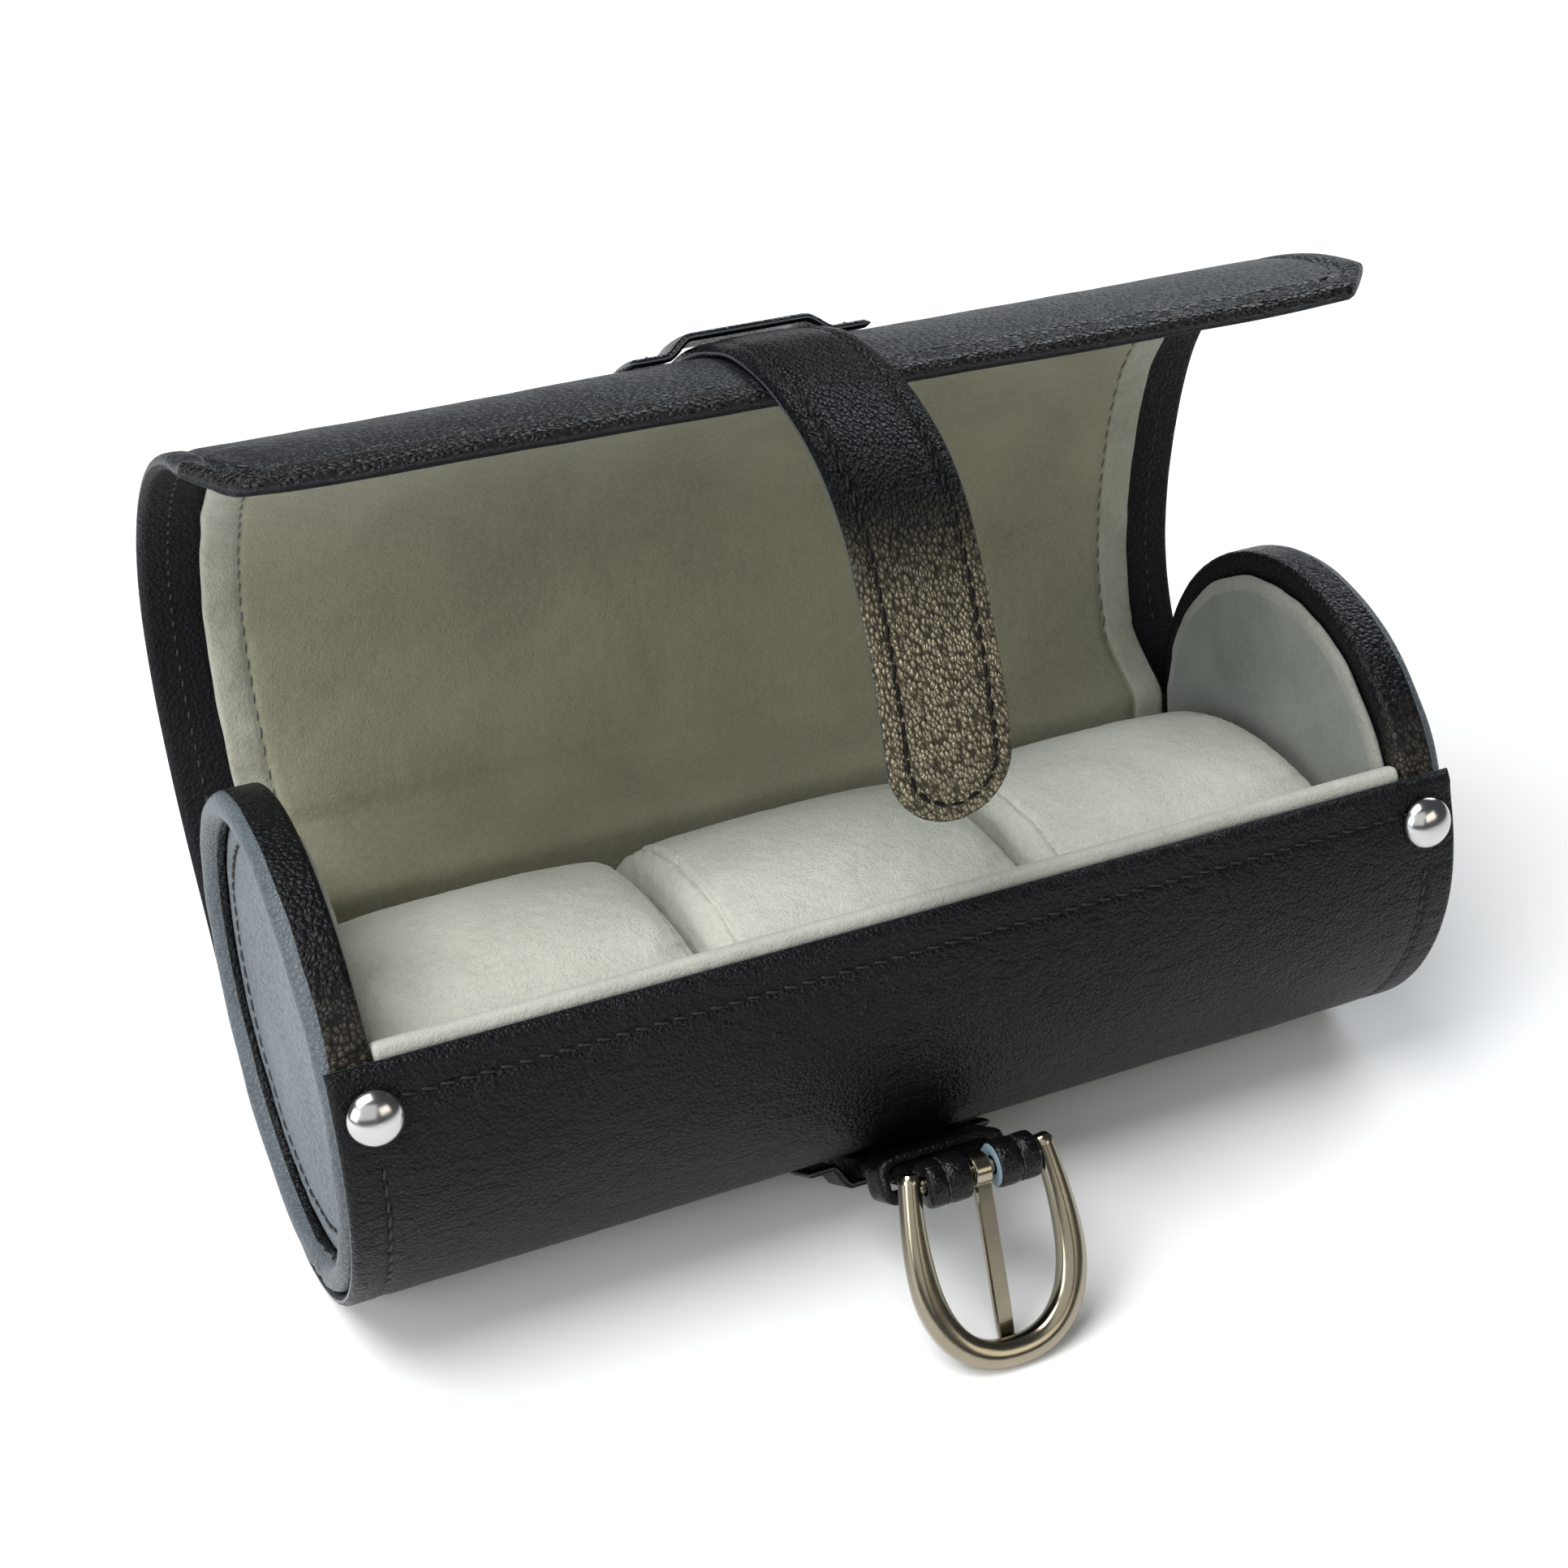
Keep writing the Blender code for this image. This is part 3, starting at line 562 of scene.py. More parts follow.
# painted reflection: the rim's and the panel's black leather are coloured a lighter blue-grey,
# standing in for the floor reflected at a grazing angle
RIM_PAINTED_REFLECTION = leather("rim_hide_painted_reflection", (24, 31, 37), (66, 82, 94), 0.8, 0.16, (0.32, 0.44), 1.0, shine=0.5)
PANEL_PAINTED_REFLECTION = leather("panel_hide_painted_reflection", (38, 49, 58), (104, 126, 144), 0.9, 0.22, (0.34, 0.46), 1.3,
                     (1, 0.6, 1.3), shine=0.45)
SMALL_HIDE = leather("small_hide", (1.2, 1.2, 1.5), (3.2, 3.2, 3.8), 0.9, 0.10, (0.13, 0.20), 0.6,
                     shine=0.20)
ROOT_HIDE = leather("root_hide", (1.2, 1.2, 1.5), (3.2, 3.2, 3.8), 0.9, 0.10, (0.13, 0.22), 0.6,
                    shine=0.20)
INSIDE_HIDE = leather("inside_hide", (2, 2, 2.5), (6, 6, 8), 0.9, 0.16, (0.42, 0.58), 0.6,
                      shine=0.15)
THREAD = plain("thread", (5, 5, 5.5), (14, 14, 15), 0.25, 0.45, 0.03, 0.30)
STRAP_THREAD = plain("strap_thread", (1.5, 1.5, 1.8), (4, 4, 4.5), 0.25, 0.5, 0.03, 0.12)
VELVET_THREAD = plain("velvet_thread", (60, 65, 65), (110, 115, 110), 0.3, 0.7, 0.03)
MARGIN_THREAD = plain("margin_thread", (12, 13, 14), (30, 32, 34), 0.3, 0.7, 0.03)
EDGE_PAINT = plain("edge_paint", (30, 38, 48), (60, 72, 85), 0.8, 0.40, 0.03)
SLOT_PAINT = plain("slot_paint", (120, 170, 210), (200, 270, 310), 0.8, 0.45, 0.03)
BOARD_FIBRE = plain("board_fibre", (20, 20, 18), (45, 43, 38), 1.2, 0.9, 0.08)
LID_VELVET = napped("lid_velvet", (190, 184, 130), (270, 264, 192), 26, 0.45, 0.16, 0.30)
# painted light: a lighter copy of the lid velvet for the gathered band along its sewn edges,
# standing in for the light that band catches
EDGE_VELVET_PAINTED_LIGHT = napped("edge_velvet_painted_light", (260, 260, 208), (355, 360, 295), 12, 0.45, 0.18, 0.35)
PALE_SUEDE = napped("pale_suede", (420, 435, 380), (530, 545, 480), 18, 0.45, 0.24, 0.20)
WELT_SUEDE = napped("welt_suede", (310, 325, 285), (380, 395, 350), 14, 0.40, 0.14, 0.20)
DISC_SUEDE = napped("disc_suede", (115, 128, 113), (175, 188, 168), 16, 0.40, 0.12, 0.25)
DISC_EDGE = napped("disc_edge", (170, 178, 155), (235, 245, 215), 14, 0.40, 0.14, 0.25)
CHROME = metal("rivet_chrome", (460, 460, 470), (540, 540, 540), 0.19)
GUNMETAL = metal("gunmetal", (260, 235, 175), (330, 295, 220), 0.19)


# ---- the case -----------------------------------------------------------------
WRAP_LENGTH = TUBE_RADIUS * math.radians(FRONT_EDGE_DEG + 360 - BACK_JOIN_DEG)
HEM = 6.2 * MM                    # stitch line below the case's front edge
SIDE_SEAM = 93.8 * MM
SEAM_START = 17 * MM              # the side seams begin below the rivets


def wrap_surface(s, x, lift):
    """Outside of the case's leather, s down and round from the front edge."""
    degrees = FRONT_EDGE_DEG - math.degrees(s / TUBE_RADIUS)
    swell = 0.45 * MM * bell(s, 1.9 * MM, 1.7 * MM)
    swell += 0.22 * MM * rough(x, s, 0.3, 31 * MM) * smooth(s / (12 * MM))
    swell += 0.08 * MM * rough(x, s, 4.3, 6 * MM)
    sunk = groove(s - HEM) if abs(x) < SIDE_SEAM + 2 * MM else 0
    if s > SEAM_START:
        sunk += groove(abs(x) - SIDE_SEAM)
    place = around(TUBE_RADIUS + swell, degrees)
    place.y = max(place.y, 0.02 * MM)
    place += outward(270 + degrees) * (sunk + lift)
    return Vector((x, place.x, place.y))


def wrap_inside(s, x):
    return min(HALF_LENGTH - abs(x), s)


case = Form()
columns = spaced(-HALF_LENGTH, HALF_LENGTH, 2.5 * MM, (-SIDE_SEAM, SIDE_SEAM))
rows = spaced(0, WRAP_LENGTH, 2.2 * MM, (HEM,), soft_high=False)
sheet_of(case, [[(s, x) for x in columns] for s in rows], wrap_surface,
         lambda s, x: WRAP_THICK, wrap_inside, 1.1 * MM, 0, 2, 3)
case.stitches(wrap_surface, [(HEM, -SIDE_SEAM + 1 * MM), (HEM, SIDE_SEAM - 1 * MM)])
for line in (-SIDE_SEAM, SIDE_SEAM):
    case.stitches(wrap_surface, [(SEAM_START, line), (WRAP_LENGTH - 2 * MM, line)])
case_leather = case.make("case_leather", (CASE_HIDE, THREAD, EDGE_PAINT, INSIDE_HIDE), 65)
settle(case_leather, "case_wrap", "case")


# ---- the round ends -----------------------------------------------------------
def ring_point(radius, along, degrees, side):
    place = around(radius, degrees)
    return Vector((side * along, place.x, place.y))


RIM_PROFILE = [(37.2, 91.98), (37.2, 91.80), (40.4, 91.80), (41.4, 91.95), (41.95, 92.4),
               (42.1, 93.0), (42.1, 94.2), (42.1, 95.4), (42.1, 96.6), (42.1, 97.6), (42.05, 98.4),
               (41.85, 99.1), (41.45, 99.8), (40.8, 100.35), (40.0, 100.6), (39.1, 100.5),
               (38.3, 100.1), (37.65, 99.4), (37.2, 98.5), (36.95, 97.6), (36.9, 96.9),
               (41.2, 96.9), (41.2, 95.0), (41.2, 93.2), (41.2, 91.98)]
RIM_FACE = 98.2 * MM              # beyond this the band has the rim's leather
PANEL_SEAM = 33.0                 # radius in millimetres, as in the profiles
RIVET_DEG = 20.5


def build_band(side, word):
    def profile(degrees):
        across, up = spot_on(degrees, 4)
        # the padded rim is fuller low down, and its leather is gathered at one place
        fuller = 0.5 * smooth((60 - abs(from_angle(degrees, -40))) / 60)
        gather = bell(from_angle(degrees, -62), 0, 3.0)
        fold = bell(from_angle(degrees, -70), 0, 1.8)
        ring = []
        for r, a in RIM_PROFILE:
            out = smooth((a - 97.0) / 2.0)
            wave = rough(across, a * 0.3, up + side * 7)
            a += out * (0.25 * wave + fuller * (1 if side < 0 else 0.3)
                        - (0.9 * gather + 0.6 * fold) * (side < 0))
            if r > 41.5:
                r += 0.07 * rough(degrees * 0.4, a, side)
            ring.append(ring_point(r * MM, a * MM, degrees, side))
        return ring

    band = Form()
    band.add([profile(360 * k / 220) for k in range(220)], around_row=True, around_rows=True)
    piece = band.make(f"cap_leather_{word}", (CAP_HIDE, THREAD, RIM_PAINTED_REFLECTION))
    for face in piece.data.polygons:
        if abs(face.center.x) > RIM_FACE:
            face.material_index = 2
    settle(piece, f"cap_band_{word}", "case")


def build_panel(side, word):
    """The outer panel: a thin pad, sewn down in a ring."""
    def height(r, degrees):
        puff = 0.55 * (1 - (r / 37.0) ** 2) + 0.35 * bell(r, 35.2, 1.3)
        x, y = spot_on(degrees, r)
        waves = 0.16 * rough(x / 9, y / 14, side * 3.0)
        waves += 0.10 * rough(x / 3, y / 6, side * 5.0)
        sunk = groove((r - PANEL_SEAM) * MM, 0.38 * MM, 0.75 * MM) / MM
        return 96.9 + puff + waves + sunk

    def place(degrees, r, a=None, lift=0.0):
        a = height(r, degrees) if a is None else a
        return ring_point(r * MM, a * MM + lift, degrees, side)

    radii = [PANEL_SEAM + d for d in (-1.2, -0.7, -0.3, 0, 0.3, 0.7, 1.2)]
    radii = {round(float(r), 2) for r in (*np.arange(1.6, 36.7, 1.6), *radii)} | {36.2, 36.6}
    outline = [(r, None) for r in (0.01, *sorted(radii))]
    outline += [(36.75, 96.6), (36.7, 96.32), (0.01, 96.32)]
    panel = Form()
    panel.turn(144, lambda degrees: [place(degrees, r, a) for r, a in outline])
    count = 66
    for k in range(count):
        degrees = 360 * k / count
        centre = place(degrees, PANEL_SEAM, lift=0.25 * MM)
        after = place(degrees + 1, PANEL_SEAM, lift=0.25 * MM)
        panel.capsule(centre, (after - centre).normalized(), Vector((side, 0, 0)), 2.5 * MM,
                      0.36 * MM)
    piece = panel.make(f"cap_panel_leather_{word}", (PANEL_PAINTED_REFLECTION, THREAD))
    settle(piece, f"cap_panel_{word}", "case")


def build_disc(side, word):
    """The suede disc inside, its turned edge a little uneven."""
    face_x = 90.35
    outline = ([(r, face_x + 0.25 * (1 - smooth((r - 30) / 6)))
                for r in (0.01, 4, 8, 12, 16, 20, 24, 28, 31, 33.5, 35.2)]
               + [(36.3, face_x + 0.02), (37.1, face_x + 0.22), (37.6, face_x + 0.6),
                  (37.75, face_x + 1.0), (37.6, 91.7), (0.01, 91.7)])

    def profile(degrees):
        ring = []
        across, up = spot_on(degrees, 6)
        wave = rough(across, side * 2.0, up)
        for r, a in outline:
            edge = smooth((r - 33) / 4.5)
            r += 0.42 * wave * edge
            x, y = spot_on(degrees, r)
            if a < 91.2:
                a += 0.18 * rough(x / 8, y / 8, side * 4.0)
                a += 0.22 * edge * rough(x / 3, y / 3, side * 4.0)
            ring.append(ring_point(r * MM, a * MM, degrees, side))
        return ring

    disc = Form()
    disc.turn(160, profile, lambda i, j: 1 if 10 <= j < 15 else 0)
    piece = disc.make(f"cap_suede_{word}", (DISC_SUEDE, DISC_EDGE))
    settle(piece, f"cap_disc_{word}", "case")


def build_rivet(word):
    node_low, node_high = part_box(f"rivet_{word}")
    base = Vector(((node_low[0] + node_high[0]) / 2,
                   *around(TUBE_RADIUS + 0.25 * MM, RIVET_DEG)))
    out, across = Vector((0, *outward(270 + RIVET_DEG))), Vector((1, 0, 0))
    outline = ((0.02, -4.0), (1.0, -4.0), (1.0, -0.2), (4.2, -0.2), (4.45, 0.0), (4.58, 0.3),
               (4.55, 0.62), (4.35, 1.05), (4.0, 1.52), (3.45, 1.98), (2.7, 2.38), (1.8, 2.66),
               (0.9, 2.81), (0.02, 2.86))

    def profile(degrees):
        c, d = spot_on(degrees, 1)
        return [base + (across * c + out.cross(across) * d) * r * MM + out * h * MM
                for r, h in outline]

    rivet = Form()
    rivet.turn(56, profile)
    piece = rivet.make(f"rivet_dome_{word}", (CHROME,), 50)
    settle(piece, f"rivet_{word}", "case")


SIDES = ((-1, "left"), (1, "right"))
for cap_side, cap_word in SIDES:
    build_band(cap_side, cap_word)
    build_panel(cap_side, cap_word)
    build_disc(cap_side, cap_word)
for cap_side, cap_word in SIDES:
    build_rivet(cap_word)


# ---- welt along the front edge ------------------------------------------------
def build_welt():
    welt = Form()
    half = 91.6 * MM
    middle = around(40.15 * MM, FRONT_EDGE_DEG + 0.9)
    out, up = outward(270 + FRONT_EDGE_DEG), direction(FRONT_EDGE_DEG + 90)
    rings = []
    for x in spaced(-half, half, 2.0 * MM):
        full = edge_share(half - abs(x) + 0.2 * MM, 0.9 * MM)
        ring = []
        for k in range(22):
            wide, tall = squared(360 * k / 22, 2.05 * MM, 0.7, 1.75 * MM, 0.85)
            wave = 1 + 0.02 * rough(x, k * MM, 0.0, 7 * MM)
            spot = middle + (out * wide + up * tall) * full * wave
            spot = spot + up * 0.12 * MM * rough(x, 0, 2.0, 22 * MM)
            ring.append(Vector((x, spot.x, spot.y)))
        rings.append(ring)
    welt.tube(rings)
    piece = welt.make("welt_roll", (WELT_SUEDE,))
    settle(piece, "front_welt", "case")


build_welt()


# ---- lining of the trough ------------------------------------------------------
TROUGH_RADIUS = 38.2 * MM
TROUGH_DEG = 30.2
TROUGH_HALF = 90.2 * MM
TROUGH_LENGTH = TROUGH_RADIUS * math.radians(TROUGH_DEG + 161.5)


def trough_surface(s, x, lift):
    degrees = TROUGH_DEG - math.degrees(s / TROUGH_RADIUS)
    radius = TROUGH_RADIUS - 0.10 * MM * rough(x, s, 6.2, 14 * MM) - lift
    place = around(radius, degrees)
    return Vector((x, place.x, place.y))


trough = Form()
sheet_of(trough, [[(s, x) for x in spaced(-TROUGH_HALF, TROUGH_HALF, 6 * MM)]
                  for s in spaced(0, TROUGH_LENGTH, 3 * MM)], trough_surface,
         lambda s, x: 0.95 * MM, lambda s, x: min(TROUGH_HALF - abs(x), s, TROUGH_LENGTH - s),
         0.6 * MM)
trough_piece = trough.make("trough_suede", (PALE_SUEDE,), 65)
settle(trough_piece, "trough_lining", "case")


# ---- pillows ------------------------------------------------------------------
PILLOW_RADIUS = 36.6 * MM
PILLOW_WIDTH = 59.53 * MM
PILLOW_STEP = 60.23 * MM


def pillow_section(share, shrink):
    """Outline of a pillow across the tube; share is 0 at the middle and 1 at an end."""
    front, back = around(PILLOW_RADIUS - shrink, 9), around(PILLOW_RADIUS - shrink, 194)
    chord = back - front
    square = Vector((-chord.y, chord.x)).normalized()
    crown = (14.8 - 2.8 * share ** 2.6 - 1.8 * smooth((share - 0.9) / 0.1)) * MM - shrink
    line = []
    for i in range(29):
        a = 194 - 360 + (9 + 360 - 194) * i / 28
        drop = 0.3 * MM * smooth((share - 0.9) / 0.1)
        line.append(around(PILLOW_RADIUS - shrink - drop, a))
    for i in range(1, 24):
        t = i / 24
        bulge = 1 - abs(2 * t - 1) ** 2.3
        line.append(front + chord * t + square * crown * bulge)
    return line


def taken_off(obj, modifier):
    """The object's mesh as the modifier leaves it; the modifier is then removed."""
    graph = bpy.context.evaluated_depsgraph_get()
    mesh = bpy.data.meshes.new_from_object(obj.evaluated_get(graph))
    obj.modifiers.remove(modifier)
    return mesh


def blow_up(obj, cap):
    """Blow the cloth up a little as stuffing does, and keep the result."""
    remesh = obj.modifiers.new("Even", "REMESH")
    remesh.mode = "VOXEL"
    remesh.voxel_size = 4.0 * MM
    mesh = taken_off(obj, remesh)
    obj.data = mesh
    start = np.array([v.co for v in mesh.vertices])
    cloth = obj.modifiers.new("Cloth", "CLOTH")
    for name, value in (("quality", 6), ("mass", 0.15), ("tension_stiffness", 12),
                        ("compression_stiffness", 12), ("bending_stiffness", 0.6),
                        ("use_pressure", True), ("uniform_pressure_force", 4.0)):
        setattr(cloth.settings, name, value)
    cloth.settings.effector_weights.gravity = 0.0
    scene = bpy.context.scene
    scene.frame_start, scene.frame_end = 1, 20
    for number in range(1, 21):
        scene.frame_set(number)
    blown = taken_off(obj, cloth)
    scene.frame_set(1)
    moved = np.array([v.co for v in blown.vertices]) - start
    far = np.linalg.norm(moved, axis=1)
    moved *= (np.minimum(far, cap) / np.maximum(far, 1e-9))[:, None]
    mesh.vertices.foreach_set("co", (start + moved).astype(np.float32).ravel())
    mesh.update()
    finer = obj.modifiers.new("Finer", "SUBSURF")
    finer.levels = finer.render_levels = 2
    obj.data = taken_off(obj, finer)


def build_pillow(number):
    middle = (number - 2) * PILLOW_STEP
    half = PILLOW_WIDTH / 2 - 0.5 * MM
    form = Form()
    rings = []
    for k in range(25):
        t = -1 + 2 * k / 24
        share = abs(t)
        round_off = 1 - math.sqrt(max(0.0, 1 - max(0.0, (share - 0.93) / 0.07) ** 2))
        shrink = 0.7 * MM + 1.9 * MM * round_off
        rings.append([Vector((middle + t * half, p.x, p.y)) for p in pillow_section(share, shrink)])
    form.tube(rings)
    piece = form.make(f"pillow_suede_{number}", (PALE_SUEDE,))
    blow_up(piece, 1.5 * MM)

    # rows of points where the seams run, near the left end and at the right one
    mesh = piece.data
    seams = [middle - PILLOW_WIDTH / 2 + 4.8 * MM, middle + PILLOW_WIDTH / 2 - 2.4 * MM]
    seams = seams[1:] if number == 1 else seams[:1] if number == 3 else seams
    form = bmesh.new()
    form.from_mesh(mesh)
    for line in seams:
        for off in (-1.3, -0.8, -0.5, -0.25, 0, 0.25, 0.5, 0.8, 1.3):
            bmesh.ops.bisect_plane(form, geom=form.verts[:] + form.edges[:] + form.faces[:],
                                   dist=1e-6, plane_co=(line + off * MM, 0, 0),
                                   plane_no=(1, 0, 0))
    form.to_mesh(mesh)
    form.free()
    co = np.array([v.co for v in mesh.vertices])
    normals = np.array([v.normal for v in mesh.vertices])
    away = np.abs(co[:, 0] - middle)
    flat = np.clip(1.1 - np.abs(normals[:, 0]), 0, 1)
    for line in seams:
        off = (co[:, 0] - line) / MM
        pull = np.exp(-(off / 0.42) ** 2) - 0.35 * np.exp(-((np.abs(off) - 1.0) / 0.5) ** 2)
        co -= normals * (pull * flat * 0.75 * MM)[:, None]
    for k, (x, y, z) in enumerate(co):
        puff = 0.30 * MM * rough(x, y, z + number, 15 * MM) + 0.10 * MM * rough(x, y, z, 4 * MM)
        near_seam = bell(away[k], PILLOW_WIDTH / 2 - 5 * MM, 3 * MM)
        puff += 0.16 * MM * near_seam * math.sin(math.atan2(z - AXIS_Z, y) * 38 + number)
        co[k] += normals[k] * puff
    # it stays in its own space: inside the trough, and clear of its neighbours
    co[:, 0] = middle + np.clip(co[:, 0] - middle, -PILLOW_WIDTH / 2, PILLOW_WIDTH / 2)
    radial = np.hypot(co[:, 1], co[:, 2] - AXIS_Z)
    over = np.minimum(1.0, 37.6 * MM / radial)
    co[:, 1] *= over
    co[:, 2] = AXIS_Z + (co[:, 2] - AXIS_Z) * over
    mesh.vertices.foreach_set("co", co.astype(np.float32).ravel())
    mesh.materials.clear()
    mesh.materials.append(PALE_SUEDE)
    mesh.shade_smooth()
    mesh.update()
    keep_places(mesh)
    settle(piece, f"pillow_{number}", f"pillow_{number}")


for pillow_number in (1, 2, 3):
    build_pillow(pillow_number)


# ---- the lid ------------------------------------------------------------------
LID_SEAM = 5.0 * MM               # stitch line in from the lid's edges
LID_CUTS = (22.75 * MM, 69.4 * MM, LID_TOTAL)
WORDS = ("back", "top", "front")


def corner_cut(x):
    """How far the front edge is drawn back near the lid's ends."""
    out = abs(x) / MM
    bow = 2.4 * max(0.0, (out - 72) / 28) ** 2
    chamfer = 8.0 * max(0.0, (out - 93.0) / 7.0)
    return (bow + chamfer) * MM


def pulled(s, x):
    """Rows near the front edge follow its outline."""
    return s - corner_cut(x) * smooth((s - (LID_TOTAL - 26 * MM)) / (24 * MM))


def lid_inside(s, x):
    """Distance in from the lid's outline."""
    return min(HALF_LENGTH - abs(x), LID_TOTAL - corner_cut(x) - s)


def lid_surface(s, x, lift):
    point, heading = lid_track(s)
    swell = LID_THICK / 2
    inward = lid_inside(s, x)
    if s > 12 * MM and lift > -1 * MM:
        swell += groove(inward - LID_SEAM)
        swell += 0.35 * MM * bell(inward, 2.4 * MM, 1.7 * MM) * smooth((s - 100 * MM) / (30 * MM))
    swell += 0.30 * MM * rough(x, s, 1.7, 34 * MM) + 0.09 * MM * rough(x, s, 8.3, 6.5 * MM)
    # the left front corner has been creased by handling
    wear_and_highlight = smooth((-x / MM - 82) / 14) * smooth((s - (LID_TOTAL - 24 * MM)) / (14 * MM))
    swell += 0.95 * MM * wear_and_highlight * rough(x, s, 5.1, 4.2 * MM)
    dy, dz = lid_lean(s, x)
    place = point + outward(heading) * (swell + lift)
    flare = 2.9 * MM * smooth((s / LID_TOTAL - 0.55) / 0.45) * smooth((x / HALF_LENGTH - 0.3) / 0.7)
    flare += (3.0 * MM * smooth((x / HALF_LENGTH - 0.80) / 0.20)
              * smooth((s - LID_TOTAL + 34 * MM) / (24 * MM)))
    return Vector((x + flare, place.x + dy, place.y + dz))


def lid_thickness(s, x):
    hem = smooth((s - (LID_TOTAL - 14 * MM)) / (10 * MM))
    return LID_THICK + 0.5 * MM * hem


def bend_points(s, back, ahead):
    """Start and end of the stretch that bends at a joint, s along the lid."""
    point, heading = lid_arc(s)
    first, last = point - direction(heading) * back, point + direction(heading) * ahead
    return (0, first.x, first.y), (0, last.x, last.y)


JOINTS = ((0.0, "case", "lid_back", 3 * MM, 14 * MM),
          (LID_LENGTHS[0], "lid_back", "lid_top", 14 * MM, 14 * MM),
          (LID_LENGTHS[0] + LID_LENGTHS[1], "lid_top", "lid_front", 14 * MM, 14 * MM))


def bend_over(piece, number):
    s, first, second, back, ahead = JOINTS[number]
    start, end = bend_points(s, back, ahead)
    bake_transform(piece)


def corner_path(inset, first, last):
    """Places of a line an inset in from the outline: up one side, across and down."""
    side = HALF_LENGTH - inset
    if last < LID_TOTAL:
        return [[(first, x), (last, x)] for x in (-side, side)]
    turn = 7 * MM
    half = [(first, -side), (LID_TOTAL - inset - turn - corner_cut(side), -side)]
    for i in range(1, 7):
        a = math.pi / 2 * i / 7
        x = -side + turn * (1 - math.cos(a))
        half.append((LID_TOTAL - inset - corner_cut(x) - turn * (1 - math.sin(a)), x))
    front = [(-side + turn) * (1 - i / 20) for i in range(41)]
    return [half + [(LID_TOTAL - inset - corner_cut(x), x) for x in front]
            + [(s, -x) for s, x in reversed(half)]]


def build_lid():
    side = HALF_LENGTH - LID_SEAM
    xs = spaced(-HALF_LENGTH, HALF_LENGTH, 2.5 * MM, (-side, side))
    first = RISE_START
    for number, (word, last) in enumerate(zip(WORDS, LID_CUTS)):
        lid = Form()
        at_front = number == 2
        rows = spaced(first, last, 1.8 * MM, (LID_TOTAL - LID_SEAM,) if at_front else (),
                      soft_low=False, soft_high=at_front)
        sheet_of(lid, [[(pulled(s, x), x) for x in xs] for s in rows], lid_surface,
                 lid_thickness, lid_inside, 1.3 * MM, 0, 0, 2,
                 lambda s, x: 3 if LID_TOTAL - corner_cut(x) - s < LID_SEAM - 0.9 * MM else 0)
        begin = max(first, 10 * MM)
        for path in corner_path(LID_SEAM, begin, last):
            lid.stitches(lid_surface, path, 2.9 * MM, 2.3 * MM, 0.26 * MM)
        for x in (-side, side):
            lid.stitches(lambda s, x, lift: lid_surface(s, x, -lid_thickness(s, x) - lift),
                         [(begin, x), (min(last, LID_TOTAL - 12 * MM), x)],
                         2.9 * MM, 1.3 * MM, 0.2 * MM, slot=4)
        piece = lid.make(f"lid_leather_{word}",
                         (LID_HIDE, THREAD, INSIDE_HIDE, HEM_HIDE, MARGIN_THREAD), 65)
        bend_over(piece, number)
        settle(piece, f"lid_{word}")
        first = last


build_lid()

# ---- the lid's velvet ---------------------------------------------------------
VELVET_SEAM = 6.5 * MM
VELVET_END = LID_TOTAL - 4.5 * MM
velvet_top, velvet_heading = lid_arc(12 * MM)
velvet_top = velvet_top - outward(velvet_heading) * 2.3 * MM
FOOT_DEG, TOP_DEG = 199.0, 187.0      # it is tucked in behind the pillows
foot_line = [around(37.95 * MM, FOOT_DEG + (TOP_DEG - FOOT_DEG) * i / 10) for i in range(10)]
over = around(37.95 * MM, TOP_DEG)
drape = Track(foot_line + bezier(over, over + direction(TOP_DEG - 90) * 4 * MM,
                                 velvet_top - direction(velvet_heading) * 8 * MM, velvet_top))
DRAPE_START = 12 * MM - drape.at[-1]


def velvet_half(s):
    return LINING_HALF + 0.45 * MM * rough(s, 0.0, 3.0, 9 * MM)


def velvet_surface(s, x, lift):
    """The velvet's face, which looks into the lid; lift goes towards the inside."""
    if s < 12 * MM:
        point, heading = drape(s - DRAPE_START)
    else:
        point, heading = lid_arc(s)
        point = point - outward(heading) * (LID_THICK / 2 + 1.75 * MM)
    inward = min(velvet_half(s) - abs(x), VELVET_END - s)
    swell = groove(velvet_half(s) - abs(x) - VELVET_SEAM, 0.40 * MM, 0.8 * MM)
    gathers = bell(velvet_half(s) - abs(x), 3.2 * MM, 2.4 * MM)
    swell += gathers * 0.60 * MM * (rough(s, x * 0.3, 6.0, 3.6 * MM) + 0.25)
    swell += 0.16 * MM * rough(x, s, 2.2, 19 * MM)
    dy, dz = lid_lean(max(s, 0.0), x)
    place = point - outward(heading) * (swell + lift)
    return Vector((x, place.x + dy, place.y + dz))


